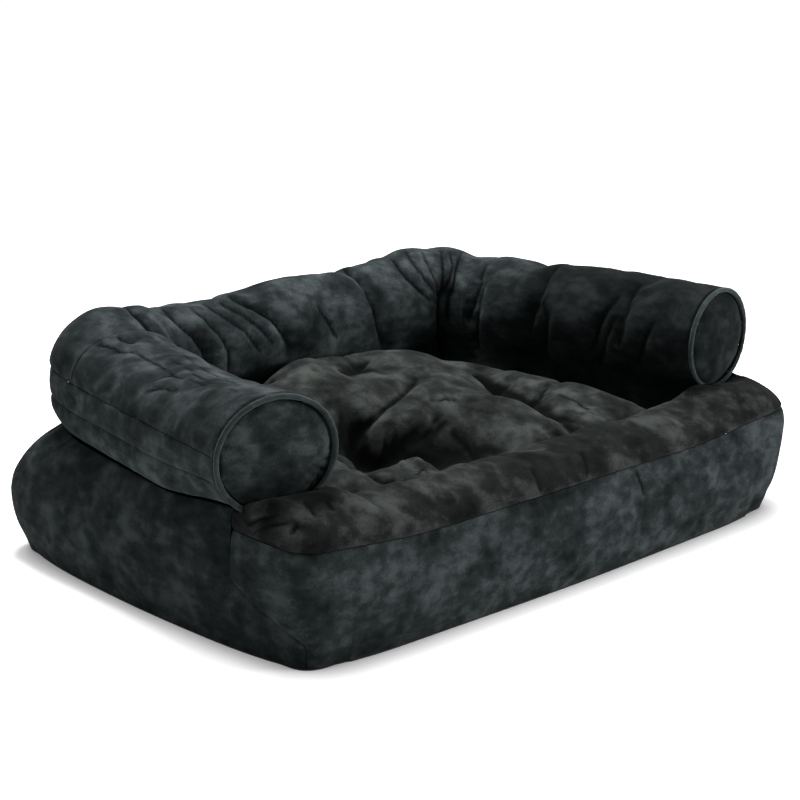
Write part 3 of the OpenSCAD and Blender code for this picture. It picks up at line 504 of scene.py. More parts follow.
def creased(g, folds, scale=1.0, deepest=17.0):
    """Depth of all the folds on this piece, how firmly each point is held and the painted shade."""
    normals = normals_of(g)
    total, held, dark = np.zeros((3, *g.shape[:2]))
    if not folds:
        return total, held, dark
    tree = BVHTree.FromPolygons(g.reshape(-1, 3).tolist(), quads(*g.shape[:2]).tolist())
    for depth, width, pixels, looks in folds:
        line = through(pixels, tree)
        if len(line) > 1:
            d, h, shut = groove(g, normals, line, scale * depth, width, **looks)
            total += d
            held = np.maximum(held, h)
            if depth > 0:
                dark = np.maximum(dark, shut)
    sewn = 1 - 0.85 * bell(edge_gap(g), 6.0)
    return deepest * np.tanh(total / deepest) * sewn, held, dark * sewn


def places(length, step=None):
    """Places 0 to 1 along a piece: evenly spaced, and closer together by its two sewn edges."""
    inner = np.linspace(SEWN_STEPS[-1], length - SEWN_STEPS[-1], count(length, step))
    return np.concatenate([SEWN_STEPS, inner[1:-1], (length - SEWN_STEPS)[::-1]]) / length


def blurred(field, reach):
    """A field on the grid, averaged twice over the cells around each point."""
    cells = 2 * reach + 1
    for axis in (0, 1, 0, 1):
        pads = [(reach, reach) if k == axis else (0, 0) for k in range(field.ndim)]
        wide = np.pad(field, pads, mode="edge")
        n = field.shape[axis]
        field = sum(np.take(wide, np.arange(k, k + n), axis) for k in range(cells)) / cells
    return field


def puffed(g, held, slack, limit, stiff=0.6, calmed=0.75):
    """The grid as cloth, held at its edges and filled out from behind where nothing holds it.

    slack is the share of fabric to spare, limit the farthest that a point moves, stiff the
    cloth's stiffness in bending, and calmed how much of the finest wrinkling is averaged out.
    """
    n, m = g.shape[:2]
    held = np.maximum(held, edges_held(g))
    work = new_object("cloth_work", g, quads(n, m), PLUSH)
    pins = work.vertex_groups.new(name="held")
    pins.add(np.flatnonzero(held.ravel() > 0.6).tolist(), 1.0, "REPLACE")
    cloth = work.modifiers.new("cloth", "CLOTH")
    tune(cloth.settings, vertex_group_mass="held", quality=5, mass=0.2, tension_stiffness=20,
         compression_stiffness=20, shear_stiffness=8, bending_stiffness=stiff, use_pressure=True,
         uniform_pressure_force=3.0, shrink_min=-slack)
    cloth.settings.effector_weights.gravity = 0
    tune(cloth.point_cache, frame_start=1, frame_end=CLOTH_FRAMES)
    for frame_at in range(1, CLOTH_FRAMES + 1):
        bpy.context.scene.frame_set(frame_at)
    done = work.evaluated_get(bpy.context.evaluated_depsgraph_get()).to_mesh()
    co = np.empty(n * m * 3)
    done.vertices.foreach_get("co", co)
    move = co.reshape(n, m, 3) / MM - g
    bpy.data.objects.remove(work)
    bpy.context.scene.frame_set(1)
    far = np.linalg.norm(move, axis=-1, keepdims=True)
    move = move * np.tanh(far / limit) * limit / np.maximum(far, 1e-6)
    free = (calmed * (1 - ease(blurred(held, 1) * 2)) * calm(g, 8.0))[..., None]
    return g + mix(move, blurred(move, 2), free)


def calm(g, reach=16.0):
    """0 along the edges of a grid, where pieces meet, and 1 away from them."""
    return 1 - bell(edge_gap(g), reach)


def hollow_shade(g, reach=6, deep=5.0):
    """Shade to paint on each point, 0 to 1, from how far it lies below the cloth around it."""
    below = np.sum((blurred(g, reach) - g) * normals_of(g), axis=-1)
    return ease(below / deep) * calm(g, 8.0)


def edges_held(g):
    """The sewn edges of a grid, which don't move."""
    held = np.zeros(g.shape[:2])
    held[:2] = held[-2:] = 1
    held[:, :2] = held[:, -2:] = 1
    return held


def softened(obj):
    """One subdivision of a simulated piece."""
    smooth = obj.modifiers.new("subdivision", "SUBSURF")
    smooth.levels = smooth.render_levels = 1
    return obj


# Materials

def node(tree, kind, **values):
    return tune(tree.nodes.new(kind), **values)


def join(tree, *pairs):
    """Links each output to its input."""
    for a, b in pairs:
        tree.links.new(a, b)


def ramp(tree, fac, *stops):
    """Colours along fac: each stop is a place and a colour."""
    made = node(tree, "ShaderNodeValToRGB")
    marks = made.color_ramp.elements
    for k in (0, -1):
        marks[k].position, marks[k].color = stops[k][0], (*stops[k][1], 1)
    for place, colour in stops[1:-1]:
        marks.new(place).color = (*colour, 1)
    join(tree, (fac, made.inputs["Fac"]))
    return made.outputs["Color"]


def surface(name, **values):
    """A material with its nodes, its shader tuned so, and the object's coordinates."""
    mat = bpy.data.materials.new(name)
    mat.use_nodes = True
    t = mat.node_tree
    bsdf = tune(t.nodes["Principled BSDF"], **values)
    return mat, t, bsdf, node(t, "ShaderNodeTexCoord").outputs["Object"]


def velour(name, dark, mid, light, blotch=60.0, sheen=0.02):
    """Plush fabric: nap lying this way and that in soft patches, a fine pile, and painted shade."""
    mat, t, bsdf, where = surface(name, Roughness=0.94, Specular_IOR_Level=0.05,
                                  Sheen_Weight=sheen, Sheen_Roughness=0.5,
                                  Sheen_Tint=(0.75, 0.82, 0.82, 1))

    def noise(size, detail, roughness, distortion, stretch=(1, 1, 1)):
        place = node(t, "ShaderNodeMapping", Scale=stretch)
        made = node(t, "ShaderNodeTexNoise", noise_dimensions="3D", Scale=1000.0 / size,
                    Detail=detail, Roughness=roughness, Distortion=distortion)
        join(t, (where, place.inputs["Vector"]), (place.outputs["Vector"], made.inputs["Vector"]))
        return made.outputs["Fac"]

    def blend(a, b, share):
        made = node(t, "ShaderNodeMix", data_type="FLOAT", Factor=share)
        join(t, (a, made.inputs["A"]), (b, made.inputs["B"]))
        return made.outputs["Result"]

    patches = noise(blotch, 2.0, 0.5, 0.3)
    strokes = noise(blotch * 0.34, 2.0, 0.5, 0.15, (1.0, 0.8, 1.4))
    grain = noise(2.8, 2.0, 0.7, 0.0)
    pile = noise(1.2, 1.0, 0.5, 0.0)
    nap = blend(blend(patches, strokes, 0.4), grain, 0.16)
    # Painted shade: the sheet's attribute mixes the colour toward near black in creases, hollows
    # and shaded sides.
    shut = node(t, "ShaderNodeAttribute", attribute_type="GEOMETRY", attribute_name="painted_shade")
    deep = node(t, "ShaderNodeMix", data_type="RGBA")
    lit, unlit = deep.inputs[6], deep.inputs[7]
    unlit.default_value = (0.0006, 0.0008, 0.0008, 1)
    soft = node(t, "ShaderNodeBump", Strength=0.2, Distance=0.005)
    tiny = node(t, "ShaderNodeBump", Strength=0.6, Distance=0.0008)
    join(t, (ramp(t, nap, (0.38, dark), (0.5, mid), (0.63, light)), lit),
         (shut.outputs["Fac"], deep.inputs["Factor"]),
         (deep.outputs[2], bsdf.inputs["Base Color"]),
         (strokes, soft.inputs["Height"]),
         (blend(grain, pile, 0.5), tiny.inputs["Height"]),
         (soft.outputs["Normal"], tiny.inputs["Normal"]),
         (tiny.outputs["Normal"], bsdf.inputs["Normal"]))
    return mat


def shades(colour, *shares):
    return [[c * share for c in colour] for share in shares]


def woven(name, colour, rough=0.85, scale=900.0):
    """Plain woven tape or lining."""
    mat, t, bsdf, where = surface(name, Roughness=rough, Specular_IOR_Level=0.3)
    both = node(t, "ShaderNodeMath", operation="MULTIPLY")
    for k, direction in enumerate("XZ"):
        wave = node(t, "ShaderNodeTexWave", wave_type="BANDS", bands_direction=direction,
                    Scale=scale / 3, Distortion=0.6)
        join(t, (where, wave.inputs["Vector"]), (wave.outputs["Fac"], both.inputs[k]))
    low, high = shades(colour, 0.55, 1.35)
    bump = node(t, "ShaderNodeBump", Strength=0.4, Distance=0.0003)
    join(t, (ramp(t, both.outputs["Value"], (0, low), (1, high)), bsdf.inputs["Base Color"]),
         (both.outputs["Value"], bump.inputs["Height"]),
         (bump.outputs["Normal"], bsdf.inputs["Normal"]))
    return mat


def hard(name, colour, metallic, rough):
    """Cast zip metal or moulded teeth, with fine wear."""
    mat, t, bsdf, where = surface(name, Metallic=metallic)
    wear = node(t, "ShaderNodeTexNoise", Scale=600.0, Detail=5.0)
    spread = node(t, "ShaderNodeMapRange", To_Min=rough - 0.1, To_Max=rough + 0.12)
    low, high = shades(colour, 0.7, 1)
    join(t, (where, wear.inputs["Vector"]),
         (ramp(t, wear.outputs["Fac"], (0, low), (1, high)), bsdf.inputs["Base Color"]),
         (wear.outputs["Fac"], spread.inputs["Value"]),
         (spread.outputs["Result"], bsdf.inputs["Roughness"]))
    return mat


PLUSH = velour("plush_charcoal", (0.0067, 0.0090, 0.0094), (0.0216, 0.0275, 0.0286),
               (0.0608, 0.0728, 0.0744))
PLUSH_WARM = velour("plush_warm", (0.0074, 0.0085, 0.0080), (0.0237, 0.0269, 0.0253),
                    (0.0640, 0.0712, 0.0664))
# A darker copy of the plush for the lip: painted shade.
PLUSH_LIP_SHADED = velour("plush_lip_painted_shade", (0.0027, 0.0032, 0.0029), (0.0110, 0.0126, 0.0117),
                   (0.0496, 0.0544, 0.0512), blotch=75.0)
# A lighter copy of the plush for the bands: painted light.
PLUSH_BAND_LIT = velour("plush_band_painted_light", (0.0087, 0.0117, 0.0122), (0.0280, 0.0357, 0.0371),
                    (0.0760, 0.0910, 0.0930))
WELT = velour("welt_teal", (0.018, 0.025, 0.026), (0.030, 0.040, 0.041), (0.044, 0.056, 0.057),
              blotch=30.0, sheen=0.2)
LINING = woven("lining_black", (0.012, 0.013, 0.014))
TAPE = woven("zip_tape_black", (0.012, 0.012, 0.012), rough=0.75, scale=1500.0)
METAL = hard("zip_metal_grey", (0.24, 0.24, 0.23), 1.0, 0.38)
TEETH = hard("zip_teeth_black", (0.016, 0.016, 0.016), 0.0, 0.42)

# Folds, drawn over the photograph: depth, width and pixels

BACK_FOLDS = [
    fold(13, 7, (118, 300), (130, 305), (142, 315), (155, 328), (166, 342), (176, 354),
         fade=(0.3, 0)),
    fold(9, 5, (163, 307), (180, 322), (195, 335), (205, 350), (211, 372), fade=(0.4, 0)),
    fold(6, 5, (190, 307), (205, 317), (222, 335), (230, 352), (230, 378), fade=(0.4, 0)),
    fold(5, 5, (203, 303), (227, 317), (247, 331), (262, 353), fade=(0.4, 0.2)),
    fold(3.5, 6, (218, 302), (242, 313), (262, 328), (274, 345)),
    fold(12, 6, (228, 295), (255, 305), (275, 318), (286, 333), (292, 347), fade=(0.25, 0)),
    fold(4, 6, (317, 305), (328, 320), (337, 338)),
    fold(12, 6, (344, 269), (357, 277), (367, 290), (376, 310), (380, 330), (385, 349), lean=0.3,
         fade=(0.12, 0)),
    fold(4.5, 7, (390, 257), (405, 275), (420, 290), (432, 302)),
    fold(4, 5, (405, 252), (418, 268), (430, 284), (441, 296)),
    fold(7, 4, (420, 248), (432, 268), (440, 284), (445, 294), fade=(0.3, 0)),
    fold(7, 4, (441, 249), (444, 268), (446, 290), fade=(0.3, 0)),
    fold(8, 4, (449, 248), (454, 262), (450, 277), (446, 292), fade=(0.2, 0)),
    fold(6, 4, (461, 252), (455, 275), (450, 297), (449, 325)),
    fold(13, 8, (446, 288), (443, 315), (441, 340), (446, 358), fade=(0.2, 0)),
]
RIGHT_ARM_FOLDS = [
    fold(8, 5, (489, 258), (482, 272), (475, 295), (466, 324)),
    fold(7, 5, (483, 280), (478, 302), (476, 325), (477, 350), fade=(0.3, 0)),
    fold(10, 5, (561, 264), (547, 278), (539, 296), (532, 316), (528, 335), lean=-0.2),
    fold(8, 5, (541, 300), (545, 320), (544, 350), fade=(0.3, 0)),
    fold(9, 6, (618, 296), (605, 310), (596, 328), (591, 352), lean=0.2),
    fold(8, 5, (640, 284), (630, 298), (622, 320), (618, 348)),
    fold(5, 5, (614, 315), (604, 340), (600, 368)),
    fold(5, 7, (653, 322), (643, 342), (638, 366)),
]
LEFT_ARM_FOLDS = [
    fold(6, 5, (70, 338), (92, 334), (115, 335), (138, 341)),
    fold(3, 6, (66, 348), (86, 344), (108, 345), (128, 352)),
    fold(2.2, 5, (112, 349), (134, 352), (158, 364), (178, 376)),
    fold(3.5, 4, (150, 383), (160, 377), (172, 374), (186, 378)),
    fold(3.0, 4, (146, 393), (160, 387), (178, 389)),
    fold(2.4, 4, (180, 354), (205, 369), (245, 386)),
    fold(2.0, 4, (172, 358), (196, 374), (226, 388)),
    fold(2.0, 4, (190, 378), (214, 388), (238, 394)),
]
LIP_FOLDS = [
    fold(5, 4, (246, 526), (261, 518), (278, 515)),
    fold(5, 4, (250, 535), (270, 525), (290, 522)),
    fold(7, 5, (298, 523), (292, 531), fade=(0.3, 0)),
    fold(4, 5, (305, 503), (311, 509), (317, 517)),
    fold(2.5, 6, (326, 500), (334, 512)),
    fold(2.0, 6, (530, 468), (538, 482), (543, 494)),
    fold(2.0, 6, (580, 452), (586, 465), (588, 478)),
]
FRONT_FOLDS = [
    fold(6, 5, (294, 540), (287, 546), (278, 552), fade=(0, 0.4)),
    fold(3, 6, (268, 541), (282, 549), (300, 549)),
    fold(2.6, 6, (637, 470), (642, 482), (645, 494), fade=(0.1, 0.5)),
]


def piece(obj, slot, body, *nodes, fill=None):
    """Rides the piece on its body, in place of its CAD nodes."""
    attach(obj, body)
    if nodes:
        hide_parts(*nodes)
    return obj


# Bolster

def ends_flat(g, welts):
    """0 at the ends of a bolster's cover that meet a welt, so that no seam opens beside it."""
    return 1 - sum(bell(edge_distance(g, edge), 6.0) for edge in welts)


def lumps(g, large, small, seed):
    """The stuffing's unevenness under a bolster's cover, none at its edges."""
    return calm(g) * (swell(g, 90.0, large, seed) + swell(g, 26.0, small, seed + 3))


def gathered_grid(s):
    """The gathered cover at the places s: round the roll, then down its inner side to the deck."""
    span = INNER_A - SEAM_TOP_A
    lead = np.degrees(SEWN_STEPS / COVER_R)
    turn = np.linspace(lead[-1], span, count(math.radians(span) * COVER_R))
    over = roll_pt(*mesh_grid(s, SEAM_TOP_A + np.concatenate([lead[:-1], turn])))
    end_n = (roll_r(s) * math.cos(math.radians(INNER_A)))[:, None]
    end_z = AXIS_Z + ROLL_RZ * math.sin(math.radians(INNER_A))
    drop = end_z - DECK_Z
    sw, tw = mesh_grid(s, np.linspace(0, 1, count(drop) + 1)[1:])
    slope = unit(tw * drop / 38.0)
    n = end_n + (-WELL_INSET - end_n) * (1 - (1 - slope) ** 2)
    x, y = roll_plan(sw, n)
    wall = stack(x, y, mix(end_z, DECK_Z + 0.5, tw))
    return np.concatenate([over, wall], axis=1)


def bolster_piece(name, s, folds, edges, cad, seed, slack, stiff=9.0, welts=(), painted_shade_level=0.0):
    """A gathered cover; the last argument is the shade painted on its inner side, 0 to 1."""
    g = gathered_grid(s)
    depth, held, dark = creased(g, folds, 1.4)
    depth = depth + tuck(g, edges) * ends_flat(g, welts)
    depth = depth - lumps(g, 2.2, 0.45, seed)
    tight = np.gradient(edge_distance(g, "i0"), axis=0) < 0.45 * STEP
    tight[:6] = tight[-6:] = False
    g = puffed(lowered(g, depth), np.maximum(held, tight), slack=slack, limit=11.0, stiff=stiff)
    # Painted shade in its hollows and, by the last argument, on its inner side, fading in from the
    # top and the bend.
    dark = np.maximum(dark, 0.55 * hollow_shade(g))
    if painted_shade_level:
        inner = ease((edge_distance(g, "j0") - 40.0) / 70.0) * ease(edge_distance(g, "i1") / 150.0)
        dark = 1 - (1 - dark) * (1 - painted_shade_level * inner)
    return piece(softened(sheet(name, g, PLUSH, dark=dark)), "plush", "bed", cad, fill=0.85)


right_s = mix(S_END, S_BEND, places(S_END - S_BEND))
# The right arm's inner side gets painted shade.
bolster_piece("right_arm_cover", right_s, RIGHT_ARM_FOLDS, (("i1", 0.15), "j0"),
              "right_arm_panel", seed=11, slack=0.035, welts=("i0",), painted_shade_level=0.66)
bolster_piece("left_arm_cover", -right_s[::-1], LEFT_ARM_FOLDS, (("i0", 0.15), "j0"),
              "left_arm_panel", seed=12, slack=0.03, welts=("i1",))
back_s = mix(S_BEND, -S_BEND, places(2 * S_BEND))
bolster_piece("back_bolster_cover", back_s, BACK_FOLDS, (("i0", 0.15), ("i1", 0.15), "j0"),
              "back_bolster_panel", seed=13, slack=0.05, stiff=5.0)


def band(which, low_a, top_a, turned_in, seed):
    """A plain band along the whole bolster's outer side."""
    whole = np.linspace(S_END, -S_END, count(2 * S_END))
    round_it = mix(low_a, top_a, places(math.radians(top_a - low_a) * BAND_R))
    g = roll_pt(*mesh_grid(whole, round_it))
    depth = tuck(g, ("j0", "j1"), depth=turned_in) * ends_flat(g, ("i0", "i1"))
    depth = depth - lumps(g, 1.8, 0.4, seed)
    g = puffed(lowered(g, depth), 0, slack=0.012, limit=6.0, stiff=9.0, calmed=0.9)
    piece(softened(sheet(which + "_cover", g, PLUSH_BAND_LIT)), "plush", "bed", which, fill=0.85)


band("outer_band", SEAM_LOW_A, SEAM_TOP_A, 2.0, 21)
band("lower_band", CREASE_A, SEAM_LOW_A, 3.0, 22)


def liner():
    """The stuffing's inner bag, a little inside the covers, closes off what shows between them."""
    ss, aa = mesh_grid(np.linspace(S_END - 3, 3 - S_END, 110), np.arange(0, 360, 12.0))
    r = np.radians(aa)
    inset = mix(34.0, 4.5, ease((np.abs(ss) - S_END + 60) / 52))
    x, y = roll_plan(ss, (roll_r(ss) - inset) * np.cos(r))
    g = stack(x, y, AXIS_Z + (ROLL_RZ - inset) * np.sin(r) + 0.8 * crest(ss, r))
    n, m = g.shape[:2]
    verts = np.concatenate([g.reshape(-1, 3), [g[0].mean(0)], [g[-1].mean(0)]])
    j = np.arange(m)
    after, last = (j + 1) % m, (n - 1) * m
    caps = [np.stack([j, after, np.full(m, n * m)], axis=-1),
            np.stack([last + after, last + j, np.full(m, n * m + 1)], axis=-1)]
    faces = [*quads(n, m, wrap_j=True), *caps[0], *caps[1]]
    piece(new_object("bolster_liner", verts, faces, LINING, smooth=False), "lining", "bed",
          "back_bolster_fill", "left_arm_fill", "right_arm_fill", fill=0.8)


liner()


def end_frame(side):
    """Centre of an arm's end, the direction across it and the direction out of it."""
    cx, cy = roll_plan(np.array(S_END), 0.0)
    centre = np.array([side * float(cx), float(cy), AXIS_Z])
    across = np.array([side * math.sin(BEND_TURN), math.cos(BEND_TURN), 0.0])
    out = np.array([side * math.cos(BEND_TURN), -math.sin(BEND_TURN), 0.0])
    return centre, across, out


def arm_end(side, name, cad, puckers):
    """An arm's round end. Each pucker is its angle, depth, width and reach inward from the welt."""
    centre, across, out = end_frame(side)
    rim = 2 * PIPING_R + 0.3
    a = np.linspace(0, 2 * math.pi, count(540, 3.2), endpoint=False)
    rn, rz = (ARM_R - rim), (ROLL_RZ - rim)
    f = np.concatenate([[1 + (rim - 2.6) / rn, 1.03], np.linspace(1, 0.9, 10),
                        np.linspace(0.88, 0.02, count(80))])
    if side < 0:
        a = a[::-1]
    ff, aa = mesh_grid(f, a)
    # The seam allowance reaches further out under the roll, where the welt stands clear
    ff[0] = np.where(np.sin(a) < -0.8, 1 + (rim - 0.4) / rn, ff[0])
    inward = np.maximum(1 - ff, 0)
    dome = END_DOME * (1 - np.minimum(ff, 1) ** 2.4) + PIPING_R * 0.6
    sunk = 4.0 * np.exp(-(inward * COVER_R / 3.0) ** 1.2)
    g = (centre + (ff * np.cos(aa) * rn)[..., None] * across
         + (ff * np.sin(aa) * rz)[..., None] * np.array([0, 0, 1.0])
         + (dome - sunk)[..., None] * out)
    lump = swell(g, 60.0, 3.2, 31 + int(side)) + swell(g, 24.0, 1.1, 41)
    # Painted shade: the left end darker towards the bottom, the right end darker all over, both
    # darker by the welt and in the puckers.
    painted_end_shade = 0.42 * ease(0.2 - 0.9 * ff * np.sin(aa)) if side < 0 else 0.66
    dark = np.maximum(painted_end_shade, 0.5 * bell(inward * COVER_R, 5.0))
    for angle, depth, width, reach in puckers:
        d = (aa - math.radians(angle) + math.pi) % (2 * math.pi) - math.pi
        mark = np.exp(-np.abs(d * 80 / width)) * ease((ff - 1 + reach) / reach)
        lump = lump - depth * mark
        dark = np.maximum(dark, unit(depth / 7) * mark ** 1.5)
    g = g + (lump * ease(inward * 12))[..., None] * out
    n, m = g.shape[:2]
    closed = np.concatenate([g.reshape(-1, 3), [g[-1].mean(0)]])
    k = len(closed)
    j = np.arange(m)
    after, last = (j + 1) % m, (n - 1) * m
    ring = quads(n, m, wrap_j=True)
    rim_faces = np.stack([j, after, after + k, j + k], axis=-1)
    hub = np.stack([last + j, np.full(m, k - 1), last + after], axis=-1)
    faces = [*ring, *(ring[:, ::-1] + k), *rim_faces, *hub, *(hub[:, ::-1] + k)]
    obj = new_object(name, np.concatenate([closed, closed - SKIN_T * out]), faces, PLUSH)
    paint_shade(obj, np.append(dark.ravel(), 0))
    piece(obj, "plush", "bed", cad, fill=0.85)


arm_end(-1, "left_arm_end", "left_arm_end_panel",
        ((218, 10.0, 7.0, 0.55), (207, 8.0, 6.0, 0.45), (230, 8.0, 7.0, 0.45),
         (195, 6.0, 6.0, 0.35), (246, 6.0, 7.0, 0.36), (183, 4.0, 6.0, 0.25),
         (20, 3.5, 7.0, 0.25), (-20, 4.0, 8.0, 0.3), (-48, 4.5, 7.0, 0.34),
         (-70, 4.5, 7.0, 0.34), (60, 2.5, 7.0, 0.2)))
arm_end(1, "right_arm_end", "right_arm_end_panel",
        ((215, 2.5, 6.0, 0.25), (245, 2.0, 6.0, 0.2), (300, 2.0, 6.0, 0.2)))


def piping(side, name, cad):
    """The welt round an arm's end, a cord in its own fabric."""
    centre, across, out = end_frame(side)
    rng = np.random.RandomState(50 + int(side))
    m, k = 220, 14
    aa, tt = mesh_grid(np.linspace(0, 2 * math.pi, m, endpoint=False),
                       np.linspace(0, 2 * math.pi, k, endpoint=False))
    wobble = sum(rng.uniform(0.1, 0.35) * np.sin(f * aa + rng.uniform(0, 6))
                 for f in (3, 5, 9, 17, 31))
    r = PIPING_R * (1 + 0.03 * np.sin(aa * 60 + tt)) + 0.25 * wobble
    ring_n, ring_z = ARM_R - PIPING_R + 0.6, ROLL_RZ - PIPING_R + 0.6
    radial = r * np.cos(tt)
    g = (centre + ((ring_n + radial) * np.cos(aa))[..., None] * across
         + ((ring_z + radial) * np.sin(aa))[..., None] * np.array([0, 0, 1.0])
         + (0.5 + PIPING_R + r * np.sin(tt) + 0.5 * wobble)[..., None] * out)
    faces = quads(m, k, wrap_i=True, wrap_j=True)
    if side > 0:
        faces = faces[:, ::-1]
    piece(new_object(name, g, faces, WELT), "welt", "bed", cad)


piping(-1, "left_arm_welt", "left_arm_piping")
piping(1, "right_arm_welt", "right_arm_piping")

# Base

def finished(name, g, mat, cad, edges, folds=(), seed=1, swelling=2.5, fill=0.8, depth=2.6,
             extra=None, fine=0.5, slack=0.0, shade=None, painted_shade_level=0.0):
    """A cover of the base, simulated if it has slack, with shade painted along the edge shade."""
    d, held, dark = creased(g, folds, 1.3)
    # Painted shade along that edge, where it meets the next piece.
    if shade:
        dark = np.maximum(dark, 0.8 * bell(edge_distance(g, shade), 9.0))
    d = d + tuck(g, edges, depth=depth)
    lift = swell(g, 110.0, swelling, seed) + swell(g, 30.0, fine, seed + 5)
    if extra is not None:
        lift = lift + extra(g)
    lift = lift * ease((g[..., 2] - 1.0) / 25.0) * (calm(g) if slack else 1)
    out = lowered(g, d - lift)
    if slack:
        out = puffed(out, held, slack=slack, limit=6.0)
    # Painted shade in its hollows, and evenly over the whole cover by the last argument.
    dark = 1 - (1 - np.maximum(dark, 0.7 * hollow_shade(out))) * (1 - painted_shade_level)
    out[..., 2] = np.maximum(out[..., 2], 0.4)
    obj = sheet(name, out, mat, dark=dark)
    slot = "lining" if mat == LINING else "plush"
    return piece(softened(obj) if slack else obj, slot, "bed", *cad, fill=fill)


# Rough lengths of the covers, which set how many points their grids take
FRONT_HIGH, LIP_DEEP, SIDE_LONG, SIDE_HIGH, HALF_BACK_LONG, BACK_HIGH = 165, 150, 760, 205, 490, 195

v = 2 * places(2 * SEAM_END_Q) - 1
vv, ww = mesh_grid(v, places(FRONT_HIGH))
zz = mix(BOTTOM_T, front_seam_z(vv * SEAM_END_Q), ww)
finished("front_cover", front_pt(vv * seam_q(zz), zz), PLUSH, ("front_panel",),
         ("i0", "i1", "j1"), FRONT_FOLDS, seed=61, slack=0.02)

ww = mesh_grid(v, places(LIP_DEEP))[1]
# The lip takes painted shade along its rear edge, by the cushion.
finished("front_lip_cover", lip_pt(vv[:, :1] * SEAM_END_Q, ww), PLUSH_LIP_SHADED,
         ("front_lip_panel", "front_lip_fill"), ("j0", "i0", "i1"), LIP_FOLDS, seed=62, depth=2.2,
         slack=0.04, shade="j1")

CORNER_M = 1.5
mm, zz = mesh_grid(CORNER_M * places(SIDE_LONG), places(SIDE_HIGH))
finished("right_side_cover", wall_pt(mm, zz), PLUSH, ("right_side_panel", "right_wall_fill"),
         ("i0", "i1", "j1"), seed=63, slack=0.02)
# The left wall gets an even painted shade.
finished("left_side_cover", wall_pt(mm, zz, -1.0)[::-1], PLUSH,
         ("left_side_panel", "left_wall_fill"), ("i0", "i1", "j1"), seed=64, slack=0.02,
         painted_shade_level=0.16)


ZIP_HOLLOW_HALF, ZIP_HOLLOW_DEPTH, ZIP_HOLLOW_FADE = 4.5, 5.0, 2.6


def zip_hollow(g):
    """The wall's fabric turns in along the base's zip."""
    past_end = np.maximum(np.abs(g[..., 0]) - ZIP_HALF - SLOT_END, 0)
    away = np.maximum(np.abs(g[..., 2] - ZIP_Z) - ZIP_HOLLOW_HALF, 0) + past_end * 0.5
    back = ease((g[..., 1] - 300) / 20)
    return -ZIP_HOLLOW_DEPTH * np.exp(-(away / ZIP_HOLLOW_FADE) ** 1.6) * back


mm, zz = mesh_grid(np.linspace(CORNER_M, 3, count(HALF_BACK_LONG)),
                   np.linspace(0, 1, count(BACK_HIGH, 2.6)))
g = np.concatenate([wall_pt(mm, zz), wall_pt(mm, zz, -1.0)[::-1][1:]], axis=0)
finished("back_cover", g, PLUSH, ("back_panel", "back_wall_fill"), ("i0", "i1", "j1"), seed=65,
         extra=zip_hollow)

WELL_FRONT_HALF_W = 399.0
gx, gz = mesh_grid(np.linspace(-1, 1, 80) * WELL_FRONT_HALF_W,
                   np.linspace(DECK_Z, LIP_TURN_Z + 4, 12))
finished("well_front_cover", stack(gx, -WELL_FRONT - 0.5 + 0 * gx, gz)[::-1], LINING,
         ("well_front_panel",), (), seed=66, swelling=0.6)


def well_half_x(y, n):
    """Half the width between the lines that run n inside the arms' axes, at y."""
    px, py = roll_plan(np.array(S_END), -n)
    return px - (y - py) * math.tan(SPLAY)


rear = BACK_Y - WELL_INSET - 1.0
u, y = mesh_grid(np.linspace(-1, 1, 80), np.linspace(-WELL_FRONT + 1, rear, 45))
inner_r = BEND_R - WELL_INSET - 1.0
cut = unit((y - (rear - inner_r)) / inner_r)
floor_half = well_half_x(y, WELL_INSET + 1) - inner_r * (1 - np.sqrt(unit(1 - cut * cut))) * 0.9
finished("well_floor_cover", stack(u * floor_half, y, DECK_Z + 1.8 + 0 * y), LINING,
         ("well_floor_panel", "base_pad"), (), seed=67, swelling=0.2, fine=0.1, fill=0.95)


def bottom_cover():
    """The flat bottom, cut to the walls' foot line."""
    q = np.linspace(-Q_BACK - Q_FRONT, Q_BACK + Q_FRONT, 420, endpoint=False)
    (x, y), (ox, oy) = base_plan(q)
    inset = foot_in(np.full(len(q), BOTTOM_T), q) + 0.3
    rim = np.stack([x - ox * inset, y - oy * inset], axis=-1)
    n = len(rim)
    i = np.arange(n)
    after = (i + 1) % n
    faces = [i, i[::-1] + n, *np.stack([i, i + n, after + n, after], axis=-1)]
    verts = [(*p, z) for z in (BOTTOM_T, 0.0) for p in rim]
    obj = new_object("bottom_cover", verts, faces, LINING, smooth=False)
    piece(obj, "lining", "bed", "bottom_panel")


bottom_cover()

# Cushion

CUSHION_FRONT = -WELL_FRONT + 5.0
CUSHION_MID_Y = (CUSHION_FRONT + CUSHION_REAR) / 2
CUSHION_HALF_D = (CUSHION_REAR - CUSHION_FRONT) / 2
CUSHION_LONG, CUSHION_DEEP, CUSHION_ZIP = 690, 430, 400.0

